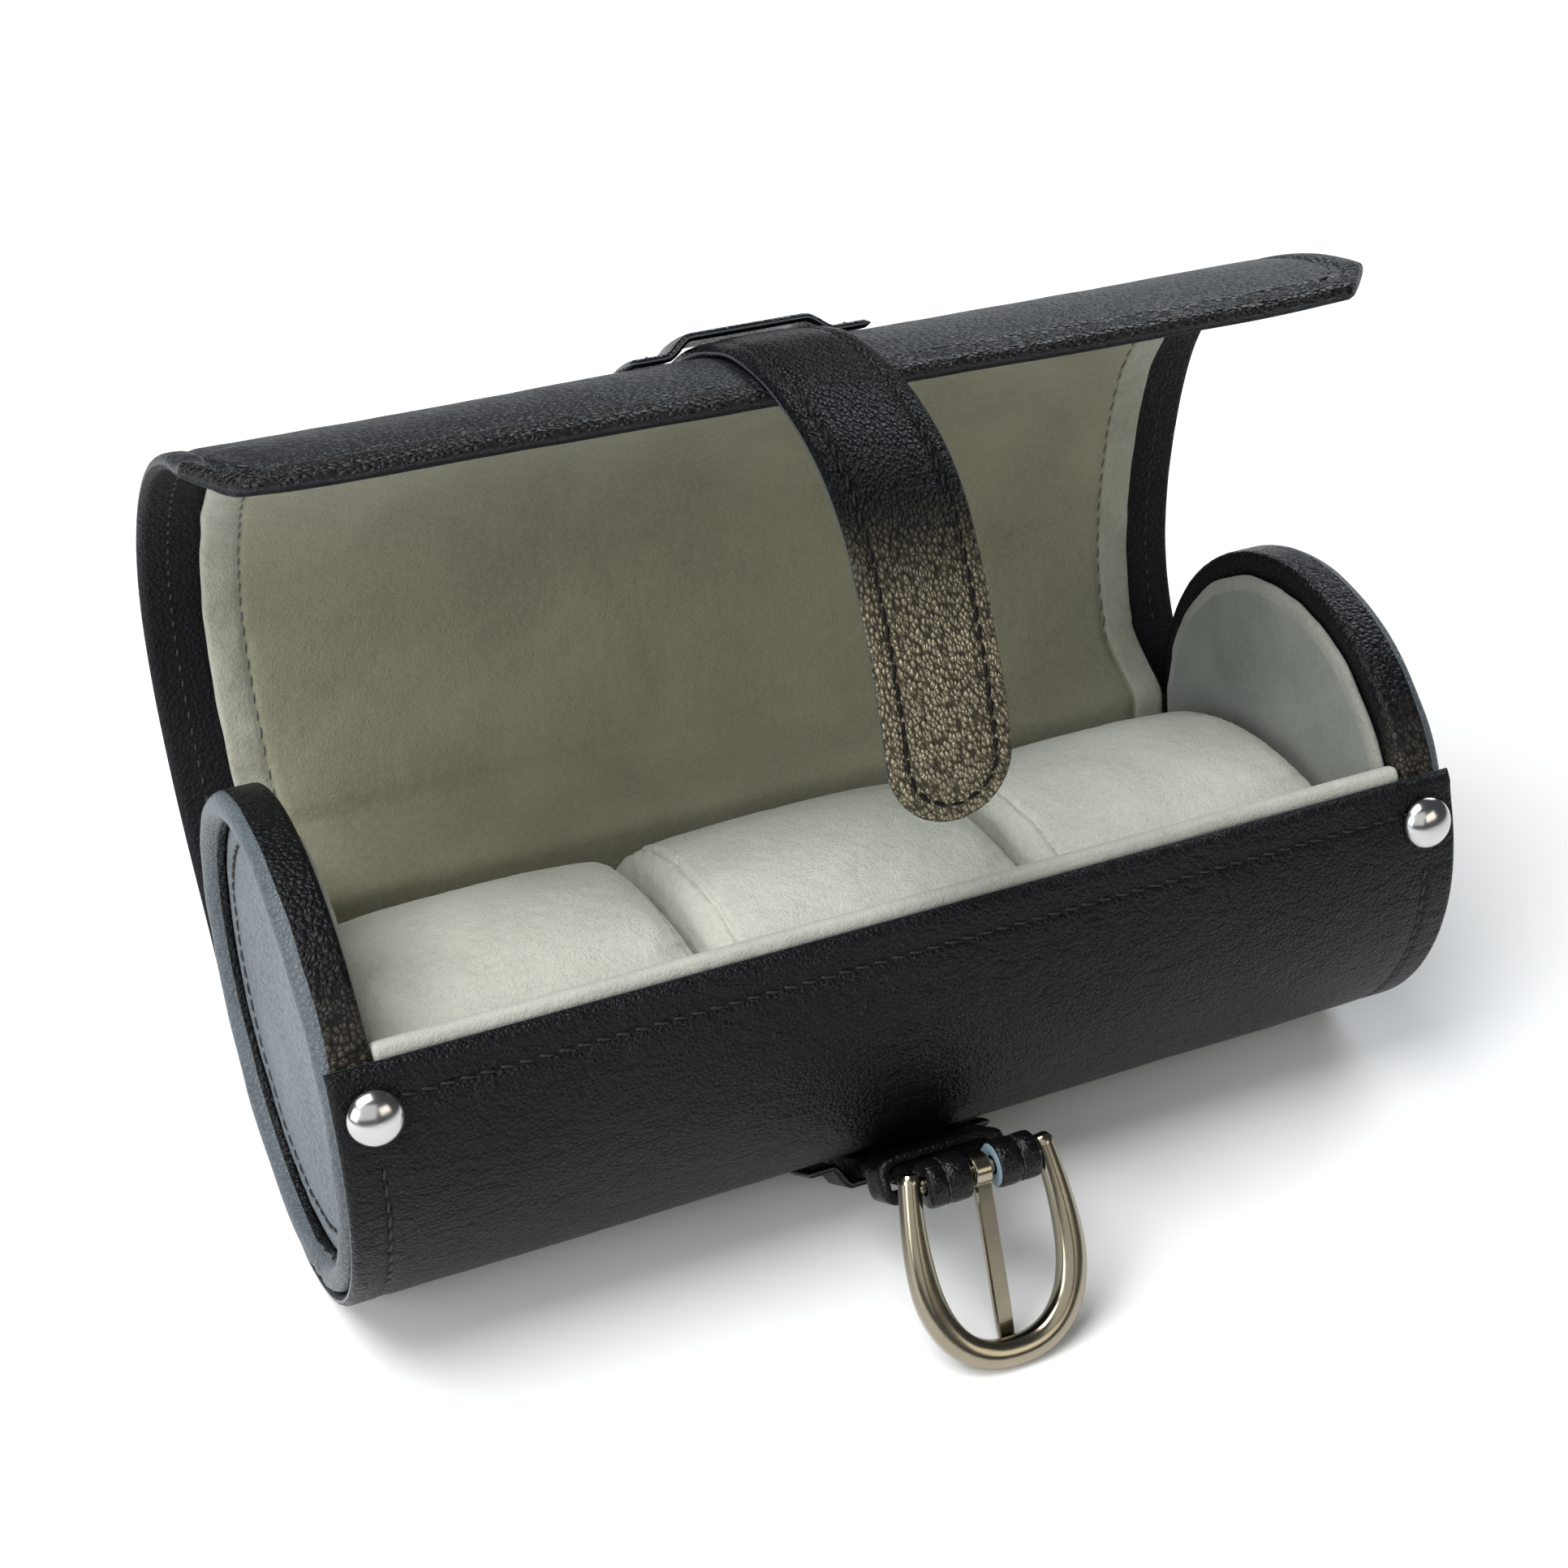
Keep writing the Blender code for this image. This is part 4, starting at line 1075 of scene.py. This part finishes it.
def build_velvet():
    first = DRAPE_START
    side = LINING_HALF - VELVET_SEAM
    for number, (word, last) in enumerate(zip(WORDS, (*LID_CUTS[:2], VELVET_END))):
        velvet = Form()
        rows = spaced(first, last, 1.5 * MM, soft_low=False, soft_high=number == 2)
        shares = [x / LINING_HALF for x in spaced(-LINING_HALF, LINING_HALF, 3 * MM, (-side, side))]
        sheet_of(velvet, [[(s, share * velvet_half(s)) for share in shares] for s in rows],
                 velvet_surface, lambda s, x: 1.3 * MM,
                 lambda s, x: min(velvet_half(s) - abs(x), VELVET_END - s), 1.0 * MM,
                 # faces in the edge band take the velvet with painted light
                 slot_of=lambda s, x: 2 if velvet_half(s) - abs(x) < VELVET_SEAM - 0.3 * MM else 0)
        for x in (-side, side):
            velvet.stitches(velvet_surface, [(max(first, 8 * MM), x), (last - 1 * MM, x)],
                            3.2 * MM, 2.2 * MM, 0.2 * MM)
        piece = velvet.make(f"lid_velvet_{word}", (LID_VELVET, VELVET_THREAD, EDGE_VELVET_PAINTED_LIGHT), 65)
        bend_over(piece, number)
        settle(piece, f"lid_lining_{word}")
        first = last


build_velvet()

# ---- the strap ----------------------------------------------------------------
STRAP_OFFSET = LID_THICK / 2 + 0.3 * MM + STRAP_THICK / 2
strap_edge, strap_heading = lid_arc(LID_TOTAL)
nose_start = strap_edge + outward(strap_heading) * STRAP_OFFSET
tongue_start, tongue_heading = walk(nose_start, strap_heading, NOSE_LENGTH, NOSE_TURN, NOSE_LENGTH)
TONGUE_LENGTH = TONGUE_ARCS[0][0] + TONGUE_ARCS[1][0]
STRAP_END = LID_TOTAL + NOSE_LENGTH + TONGUE_LENGTH
STRAP_SEAM = 3.1 * MM


def strap_track(s):
    """Middle of the strap; s runs on from the lid's own measure."""
    if s <= LID_TOTAL:
        point, heading = lid_arc(s)
        return point + outward(heading) * STRAP_OFFSET, heading
    s -= LID_TOTAL
    if s <= NOSE_LENGTH:
        return walk(nose_start, strap_heading, NOSE_LENGTH, NOSE_TURN, s)
    s -= NOSE_LENGTH
    (length, turn), (rest, rest_turn) = TONGUE_ARCS
    if s <= length:
        return walk(tongue_start, tongue_heading, length, turn, s)
    middle, heading = walk(tongue_start, tongue_heading, length, turn, length)
    return walk(middle, heading, rest, rest_turn, s - length)


def strap_half(s):
    """Half width: full along the strap, round at the tip."""
    left = STRAP_END - s
    if left >= STRAP_HALF:
        return STRAP_HALF
    return max(0.25 * MM, math.sqrt(max(0.0, STRAP_HALF ** 2 - (STRAP_HALF - left) ** 2)))


def strap_inside(s, x):
    centre = STRAP_END - STRAP_HALF
    if s <= centre:
        return STRAP_HALF - abs(x)
    return STRAP_HALF - math.hypot(s - centre, x)


def strap_surface(s, x, lift):
    point, heading = strap_track(s)
    inward = strap_inside(s, x)
    swell = STRAP_THICK / 2 + groove(inward - STRAP_SEAM, 0.28 * MM, 0.6 * MM)
    swell += 0.25 * MM * smooth((inward - STRAP_SEAM) / (4 * MM))
    swell -= 0.35 * MM * bell(inward, 0, 1.4 * MM)
    swell += 0.10 * MM * rough(x, s, 2.9, 9 * MM)
    # it lies down on the lid's edge and lifts where the loop holds it
    swell += 0.35 * MM * bell(s, LID_TOTAL - 14 * MM, 6 * MM)
    free = smooth((s - LID_TOTAL + 4 * MM) / (14 * MM))
    lift_side = 0.35 * MM * rough(0, s, 9.1, 24 * MM) * (x / STRAP_HALF) * free
    dy, dz = lid_lean(min(s, LID_TOTAL), x)
    place = point + outward(heading) * (swell + lift_side + lift)
    return Vector((x, place.x + dy * (1 - free), place.y + dz * (1 - free)))


def build_strap():
    cuts = (18 * MM, 69.4 * MM, 117 * MM, LID_TOTAL + 7.5 * MM, STRAP_END)
    nodes = (("strap_back",), ("strap_top",), ("strap_front",), ("strap_nose", "strap_tongue"))
    side = STRAP_HALF - STRAP_SEAM
    for number, (first, last) in enumerate(zip(cuts, cuts[1:])):
        belt = Form()
        at_tip = number == 3
        rows = spaced(first, last - (0.06 * MM if at_tip else 0), 1.3 * MM,
                      soft_low=number == 0, soft_high=at_tip)
        shares = [x / STRAP_HALF for x in spaced(-STRAP_HALF, STRAP_HALF, 1.5 * MM, (-side, side))]
        sheet_of(belt, [[(s, share * strap_half(s)) for share in shares] for s in rows],
                 strap_surface, lambda s, x: STRAP_THICK,
                 lambda s, x: min(strap_inside(s, x), s - cuts[0]), 0.8 * MM, 0, 2, 0)
        begin = first + (3 * MM if number == 0 else 0)
        paths = [[(begin, x), (last, x)] for x in (-side, side)]
        if number == 0:
            paths.append([(begin, -side), (begin, side)])
        if at_tip:
            arc = [(STRAP_END - STRAP_HALF + side * math.sin(a), -side * math.cos(a))
                   for a in (math.pi * i / 24 for i in range(25))]
            paths = [[(first, -side), *arc, (first, side)]]
        for path in paths:
            belt.stitches(strap_surface, path, 2.9 * MM, (2.6 if at_tip else 2.4) * MM,
                          (0.36 if at_tip else 0.27) * MM)
        hide = TONGUE_HIDE if at_tip else STRAP_HIDE
        piece = belt.make(f"strap_belt_{number + 1}", (hide, STRAP_THREAD, EDGE_PAINT), 65)
        if number < 2:
            bend_over(piece, number + 1)
        elif number == 2:
            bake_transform(piece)
        else:
            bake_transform(piece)
        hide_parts(*nodes[number])


build_strap()


# ---- loops --------------------------------------------------------------------
LOOP_HALF = 5 * MM
LOOP_THICK = 1.4 * MM


def loop_line(foot, inside, base, rise, slope):
    """Middle line of a sewn loop across the strap: feet, rounded shoulders, flat top."""
    line = []
    for i in range(57):
        x = -foot + 2 * foot * i / 56
        out = (abs(x) - inside + 0.6 * MM) / slope
        line.append((x, base + (rise - base) * (1 - smooth(out))))
    return line


def build_loop(name, node, body, line, surface, thread_at):
    """A leather loop that follows line across the strap, sewn down at both feet."""
    form = Form()
    top, bottom = [], []
    for v in spaced(-LOOP_HALF, LOOP_HALF, 1.2 * MM):
        high, low = [], []
        for j, (x, off) in enumerate(line):
            before, after = line[max(j - 1, 0)], line[min(j + 1, len(line) - 1)]
            slope = Vector((after[0] - before[0], after[1] - before[1])).normalized()
            inward = min(LOOP_HALF - abs(v), line[-1][0] - abs(x))
            full = edge_share(max(inward, 0.0), LOOP_THICK / 2) * LOOP_THICK / 2
            for row, lift in ((high, full), (low, -full)):
                row.append(surface(v, x - slope.y * lift, off + slope.x * lift))
        top.append(high)
        bottom.append(low)
    form.slab(top, bottom, 0, 2)
    for x in (-thread_at, thread_at):
        form.stitches(lambda v, x, lift: surface(v, x, np.interp(
            x, [p[0] for p in line], [p[1] for p in line]) + LOOP_THICK / 2 + lift),
            [(-LOOP_HALF + 1.3 * MM, x), (LOOP_HALF - 1.3 * MM, x)], 2.4 * MM, 2.0 * MM, 0.25 * MM)
    piece = form.make(name, (SMALL_HIDE, THREAD, EDGE_PAINT))
    settle(piece, node, body)


def keeper_surface(v, x, off):
    s = LID_LENGTHS[0] + LID_LENGTHS[1] + KEEPER_AT + v
    point, heading = lid_arc(s)
    dy, dz = lid_lean(s, x)
    place = point + outward(heading) * off
    return Vector((x, place.x + dy, place.y + dz))


build_loop("strap_loop", "strap_keeper", "lid_front",
           loop_line(21.5 * MM, STRAP_HALF + 0.3 * MM, LID_THICK / 2 + 1.0 * MM,
                     LID_THICK / 2 + 0.3 * MM + STRAP_THICK + 1.45 * MM, 5.0 * MM),
           keeper_surface, 17.8 * MM)


def lower_surface(v, x, off):
    """Under the front of the case, v forwards and up along the billet."""
    base = around(TUBE_RADIUS, BILLET_DEG)
    place = base + direction(270 + BILLET_DEG - 180) * v + outward(270 + BILLET_DEG) * off
    return Vector((x, place.x, place.y))


build_loop("billet_strap_loop", "billet_loop", "case",
           loop_line(17.5 * MM, BILLET_HALF + 1.2 * MM, 1.3 * MM, 5.0 * MM, 2.6 * MM),
           lower_surface, 14.9 * MM)

# ---- the billet ---------------------------------------------------------------
billet_radius = TUBE_RADIUS + 0.3 * MM + BILLET_THICK / 2
billet_start = around(billet_radius, BILLET_DEG)
billet_ahead, billet_out = direction(BILLET_HEADING), outward(BILLET_HEADING)
bar_place = billet_start + billet_ahead * BAR_AT


def billet_point(along, up, x):
    place = billet_start + billet_ahead * along + billet_out * up
    return Vector((x, place.x, place.y))


def build_billet():
    """Folded leather: a flat stretch, and its end rolled round the bar in two halves."""
    form = Form()
    half, roll, bore = BILLET_THICK / 2, 4.0 * MM, 1.65 * MM
    # flat stretch, its two layers parted by a fine line along the edge
    begin, end = 8.3 * MM, BAR_AT - 5.2 * MM
    section = [(1.0, 0.30), (0.96, 0.85), (0.85, 1.0), (0.4, 1.05), (0, 1.06), (-0.4, 1.05),
               (-0.85, 1.0), (-0.96, 0.85), (-1.0, 0.30), (-0.975, 0.0), (-1.0, -0.30),
               (-0.96, -0.85), (-0.85, -1.0), (0, -1.0), (0.85, -1.0), (0.96, -0.85),
               (1.0, -0.30), (0.975, 0.0)]
    form.tube([[billet_point(begin + (end - begin) * i / 12, v * half, u * BILLET_HALF)
                for u, v in section] for i in range(13)])

    def at_bar(angle, radius, x):
        return billet_point(BAR_AT + radius * math.cos(angle), radius * math.sin(angle), x)

    # rolled ends, either side of the slot for the prong
    meet = math.asin(half / roll)
    bends = [math.pi + meet + (2 * math.pi - 2 * meet) * i / 40 for i in range(41)]
    outline = [(end - 1.2 * MM, -half),
               *((BAR_AT + roll * math.cos(a), roll * math.sin(a)) for a in bends),
               (end - 1.2 * MM, half)]
    around_bore = [math.pi + 2 * math.pi * (i + 0.5) / len(outline) for i in range(len(outline))]
    marks = ((2.55, 0.90), (2.75, 0.97), (3.2, 1.0), (5.2, 1.0), (6.1, 0.985), (6.55, 0.93),
             (6.8, 0.90), (7.05, 0.93), (7.5, 0.985), (9.0, 1.0), (9.7, 0.97), (9.95, 0.90))
    for side in (-1, 1):
        rings = []
        for x, full in marks:
            ring = []
            for along, up in outline:
                away = Vector((along - BAR_AT, up))
                grain = 1 + 0.012 * rough(x * 1.3, away.x / MM, away.y / MM)
                if along > BAR_AT - 3 * MM:
                    away = away * full * grain
                ring.append(billet_point(BAR_AT + away.x, away.y, side * x * MM))
            rings.append(ring)
        outer = form.add(rings, around_row=True)
        holes = form.add([[at_bar(a, bore, side * x * MM) for a in around_bore]
                          for x in (marks[0][0], marks[-1][0])], around_row=True)
        form.join(outer[0], holes[0], 2)
        form.join(outer[-1], holes[1], 0)
        # a line of thread closes each roll
        line = side * 6.8 * MM
        for k in range(9):
            a = math.radians(-100 + 28 * k)
            centre, after = at_bar(a, roll * 0.93, line), at_bar(a + 0.1, roll * 0.93, line)
            out = centre - at_bar(0, 0, line)
            form.capsule(centre, (after - centre).normalized(), out.normalized(), 1.7 * MM,
                         0.24 * MM)
    piece = form.make("billet_leather", (SMALL_HIDE, THREAD, SLOT_PAINT), 60)
    settle(piece, "billet", "billet")


def build_billet_keeper():
    """The loose loop round the billet, with rounded corners."""
    middle, low, wall = 20.5 * MM, -0.8 * MM, 1.4 * MM

    def ring(grow, along):
        grow *= wall
        spots = [squared(360 * k / 48, BILLET_HALF + 0.8 * MM + grow, 0.28,
                         BILLET_THICK / 2 + 1.2 * MM + grow, 0.45) for k in range(48)]
        return [billet_point(middle + along * MM, low + up, x) for x, up in spots]

    loop = Form()
    outer = [ring(grow, along) for along, grow in
             ((-3.9, 0.35), (-3.75, 0.8), (-3.3, 1.0), (-1.5, 1.0), (0, 0.96), (1.5, 1.0),
              (3.3, 1.0), (3.75, 0.8), (3.9, 0.35))]
    inner = [ring(0.0, along) for along in (3.9, 2, 0, -2, -3.9)]
    loop.add(outer + inner, around_row=True, around_rows=True)
    piece = loop.make("billet_loop_leather", (SMALL_HIDE,), 60)
    settle(piece, "billet_keeper", "billet")


build_billet()
build_billet_keeper()


# ---- the buckle ---------------------------------------------------------------
frame_ahead, frame_out = direction(FRAME_HEADING), outward(FRAME_HEADING)


def buckle_point(along, x, up):
    """up is square to the frame, on the side that looks away from the case."""
    place = bar_place + frame_ahead * along + frame_out * up
    return Vector((x, place.x, place.y))


def bar_ring(radius, x, count):
    """A circle round the buckle's bar."""
    spots = [spot_on(360 * k / count, radius) for k in range(count)]
    return [buckle_point(along, x, up) for along, up in spots]


def finish_metal(form, name, sharp, body, node):
    settle(form.make(name, (GUNMETAL,), sharp), node, body)


def build_frame():
    shoulder = 13.0 * MM
    coarse = []
    for i in range(25):
        share = i / 24
        coarse.append((-(12.0 + 1.5 * math.sin(math.pi / 2 * share)) * MM,
                       (-2.5 + 15.5 * share) * MM))
    for i in range(1, 41):
        a = math.pi / 2 * i / 40
        coarse.append((-13.5 * MM * math.cos(a) ** 0.86 if i < 40 else 0.0,
                       shoulder + (FRAME_LENGTH - shoulder) * math.sin(a) ** 0.86))
    coarse += [(-x, a) for x, a in reversed(coarse[:-1])]
    even = Track(coarse)
    count = 110
    path = [tuple(even(even.at[-1] * i / count)[0]) for i in range(count)] + [coarse[-1]]
    # section: (outwards in the frame's plane, towards the front), a domed face, a
    # crisp inner edge and a straight inner wall
    section = [(-1.0, 0.55), (-0.93, 0.66), (-0.70, 0.82), (-0.35, 0.96), (0.0, 1.0),
               (0.35, 0.95), (0.68, 0.80), (0.90, 0.52), (1.0, 0.15), (1.0, -0.45),
               (0.88, -0.82), (0.60, -1.0), (-0.60, -1.0), (-0.92, -0.84), (-1.0, -0.5)]
    rings = []
    for k, (x, along) in enumerate(path):
        before, after = path[max(k - 2, 0)], path[min(k + 2, count)]
        tangent = Vector((after[0] - before[0], after[1] - before[1])).normalized()
        side = Vector((-tangent.y, tangent.x))
        if side.dot(Vector((x, along - 8 * MM))) < 0:
            side = -side
        low = smooth((along / MM + 2) / 24)
        tip = 0.72 if k in (0, count) else 1.0
        wide = (1.65 + 0.75 * low) * MM * tip
        deep = (1.75 + 0.35 * low) * MM * tip
        rings.append([buckle_point(along + side.y * u * wide, x + side.x * u * wide, v * deep)
                      for u, v in section])
    form = Form()
    form.tube(rings)
    finish_metal(form, "buckle_ring", 38, "buckle", "buckle_frame")


def build_bar():
    form = Form()
    form.tube([bar_ring(r * MM, x * MM, 28) for x, r in (
        (-13.0, 0.9), (-12.7, 1.25), (-12.0, 1.3), (-6, 1.3), (0, 1.3), (6, 1.3),
        (12.0, 1.3), (12.7, 1.25), (13.0, 0.9))])
    finish_metal(form, "buckle_pin", 40, "buckle", "buckle_bar")


def build_prong():
    """An eye round the bar and a flat bar, its tip behind the frame."""
    form = Form()
    form.add([bar_ring(r * MM, x * MM, 40) for x, r in (
        (-1.45, 2.5575), (-1.20, 2.75), (1.20, 2.75), (1.45, 2.5575), (1.45, 1.62),
        (-1.45, 1.62))], around_row=True, around_rows=True)
    corners = [(-1, 0.55), (-0.82, 1), (0.82, 1), (1, 0.55), (1, -0.55), (0.82, -1),
               (-0.82, -1), (-1, -0.55)]
    form.tube([[buckle_point(along * MM, u * wide * MM, (up + v * thick) * MM)
                for u, v in corners]
               for along, up, wide, thick in (
                   (1.9, 0.35, 1.30, 1.0), (3.2, 0.25, 1.45, 0.95), (6.0, -0.10, 1.50, 0.90),
                   (16, -1.40, 1.50, 0.84), (23.5, -2.38, 1.50, 0.78), (27.8, -2.95, 1.46, 0.74),
                   (29.4, -3.10, 1.35, 0.70), (30.1, -3.12, 1.0, 0.55))])
    finish_metal(form, "buckle_tongue", 30, "prong", "buckle_prong")


build_frame()
build_bar()
build_prong()

# ---- CAD nodes that stay ------------------------------------------------------
for name, material in (("trough_board", BOARD_FIBRE), ("cap_core_left", BOARD_FIBRE),
                       ("cap_core_right", BOARD_FIBRE), ("billet_root", ROOT_HIDE)):
    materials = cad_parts[name].data.materials
    materials.clear()
    materials.append(material)

# ---- floor, light and camera --------------------------------------------------
floor_mesh = bpy.data.meshes.new("floor")
floor_mesh.from_pydata([(-4, -4, 0), (4, -4, 0), (4, 4, 0), (-4, 4, 0)], [], [(0, 1, 2, 3)])
floor = bpy.data.objects.new("floor", floor_mesh)
bpy.context.scene.collection.objects.link(floor)
floor_look = bpy.data.materials.new("floor")
floor_look.use_nodes = True
floor_shader = floor_look.node_tree.nodes["Principled BSDF"]
floor_shader.inputs["Base Color"].default_value = (0.90, 0.90, 0.90, 1)
floor_shader.inputs["Roughness"].default_value = 0.9
floor_shader.inputs["Specular IOR Level"].default_value = 0.1
floor_mesh.materials.append(floor_look)

world = bpy.data.worlds.new("studio")
bpy.context.scene.world = world
world.use_nodes = True
sky = world.node_tree.nodes["Background"]
sky.inputs["Color"].default_value = (0.90, 0.95, 1.0, 1)
sky.inputs["Strength"].default_value = 0.09


def softbox(name, place, aim, size, power, colour=(1, 1, 1)):
    light = bpy.data.lights.new(name, "AREA")
    light.shape = "RECTANGLE"
    light.size, light.size_y = size
    light.energy = power
    light.color = colour
    obj = bpy.data.objects.new(name, light)
    obj.location = place
    obj.rotation_mode = "QUATERNION"
    obj.rotation_quaternion = (Vector(aim) - Vector(place)).to_track_quat("-Z", "Y")
    bpy.context.scene.collection.objects.link(obj)


softbox("overhead", (-0.42, 0.00, 1.0), (0, 0, 0.05), (0.8, 0.8), 15.0)
softbox("left", (-1.1, -0.40, 0.50), (0, 0, 0.05), (0.8, 0.6), 9.5, (0.92, 0.96, 1.0))
softbox("behind", (0.85, 0.85, 0.75), (0, 0, 0.1), (1.0, 0.6), 10.0, (0.88, 0.95, 1.0))
softbox("front", (0.50, -1.0, 0.55), (0, 0, 0.08), (0.6, 0.4), 1.6, (1.0, 0.93, 0.80))
softbox("fill", (-0.55, -1.1, 0.85), (0, 0, 0.08), (1.6, 1.1), 5.2, (1.0, 0.99, 0.96))

scene = bpy.context.scene
scene.view_settings.view_transform = "Standard"
scene.view_settings.look = "None"

camera_data = bpy.data.cameras.new("camera")
camera_data.sensor_width = 36
camera_data.lens = 63.53
camera_data.clip_start, camera_data.clip_end = 0.02, 20
camera = bpy.data.objects.new("camera", camera_data)
camera.location = (-0.16407, -0.35137, 0.33617)
camera.rotation_euler = (math.radians(90 - 34.728), 0, math.radians(-23.887))
scene.collection.objects.link(camera)
scene.camera = camera

bpy.context.view_layer.update()
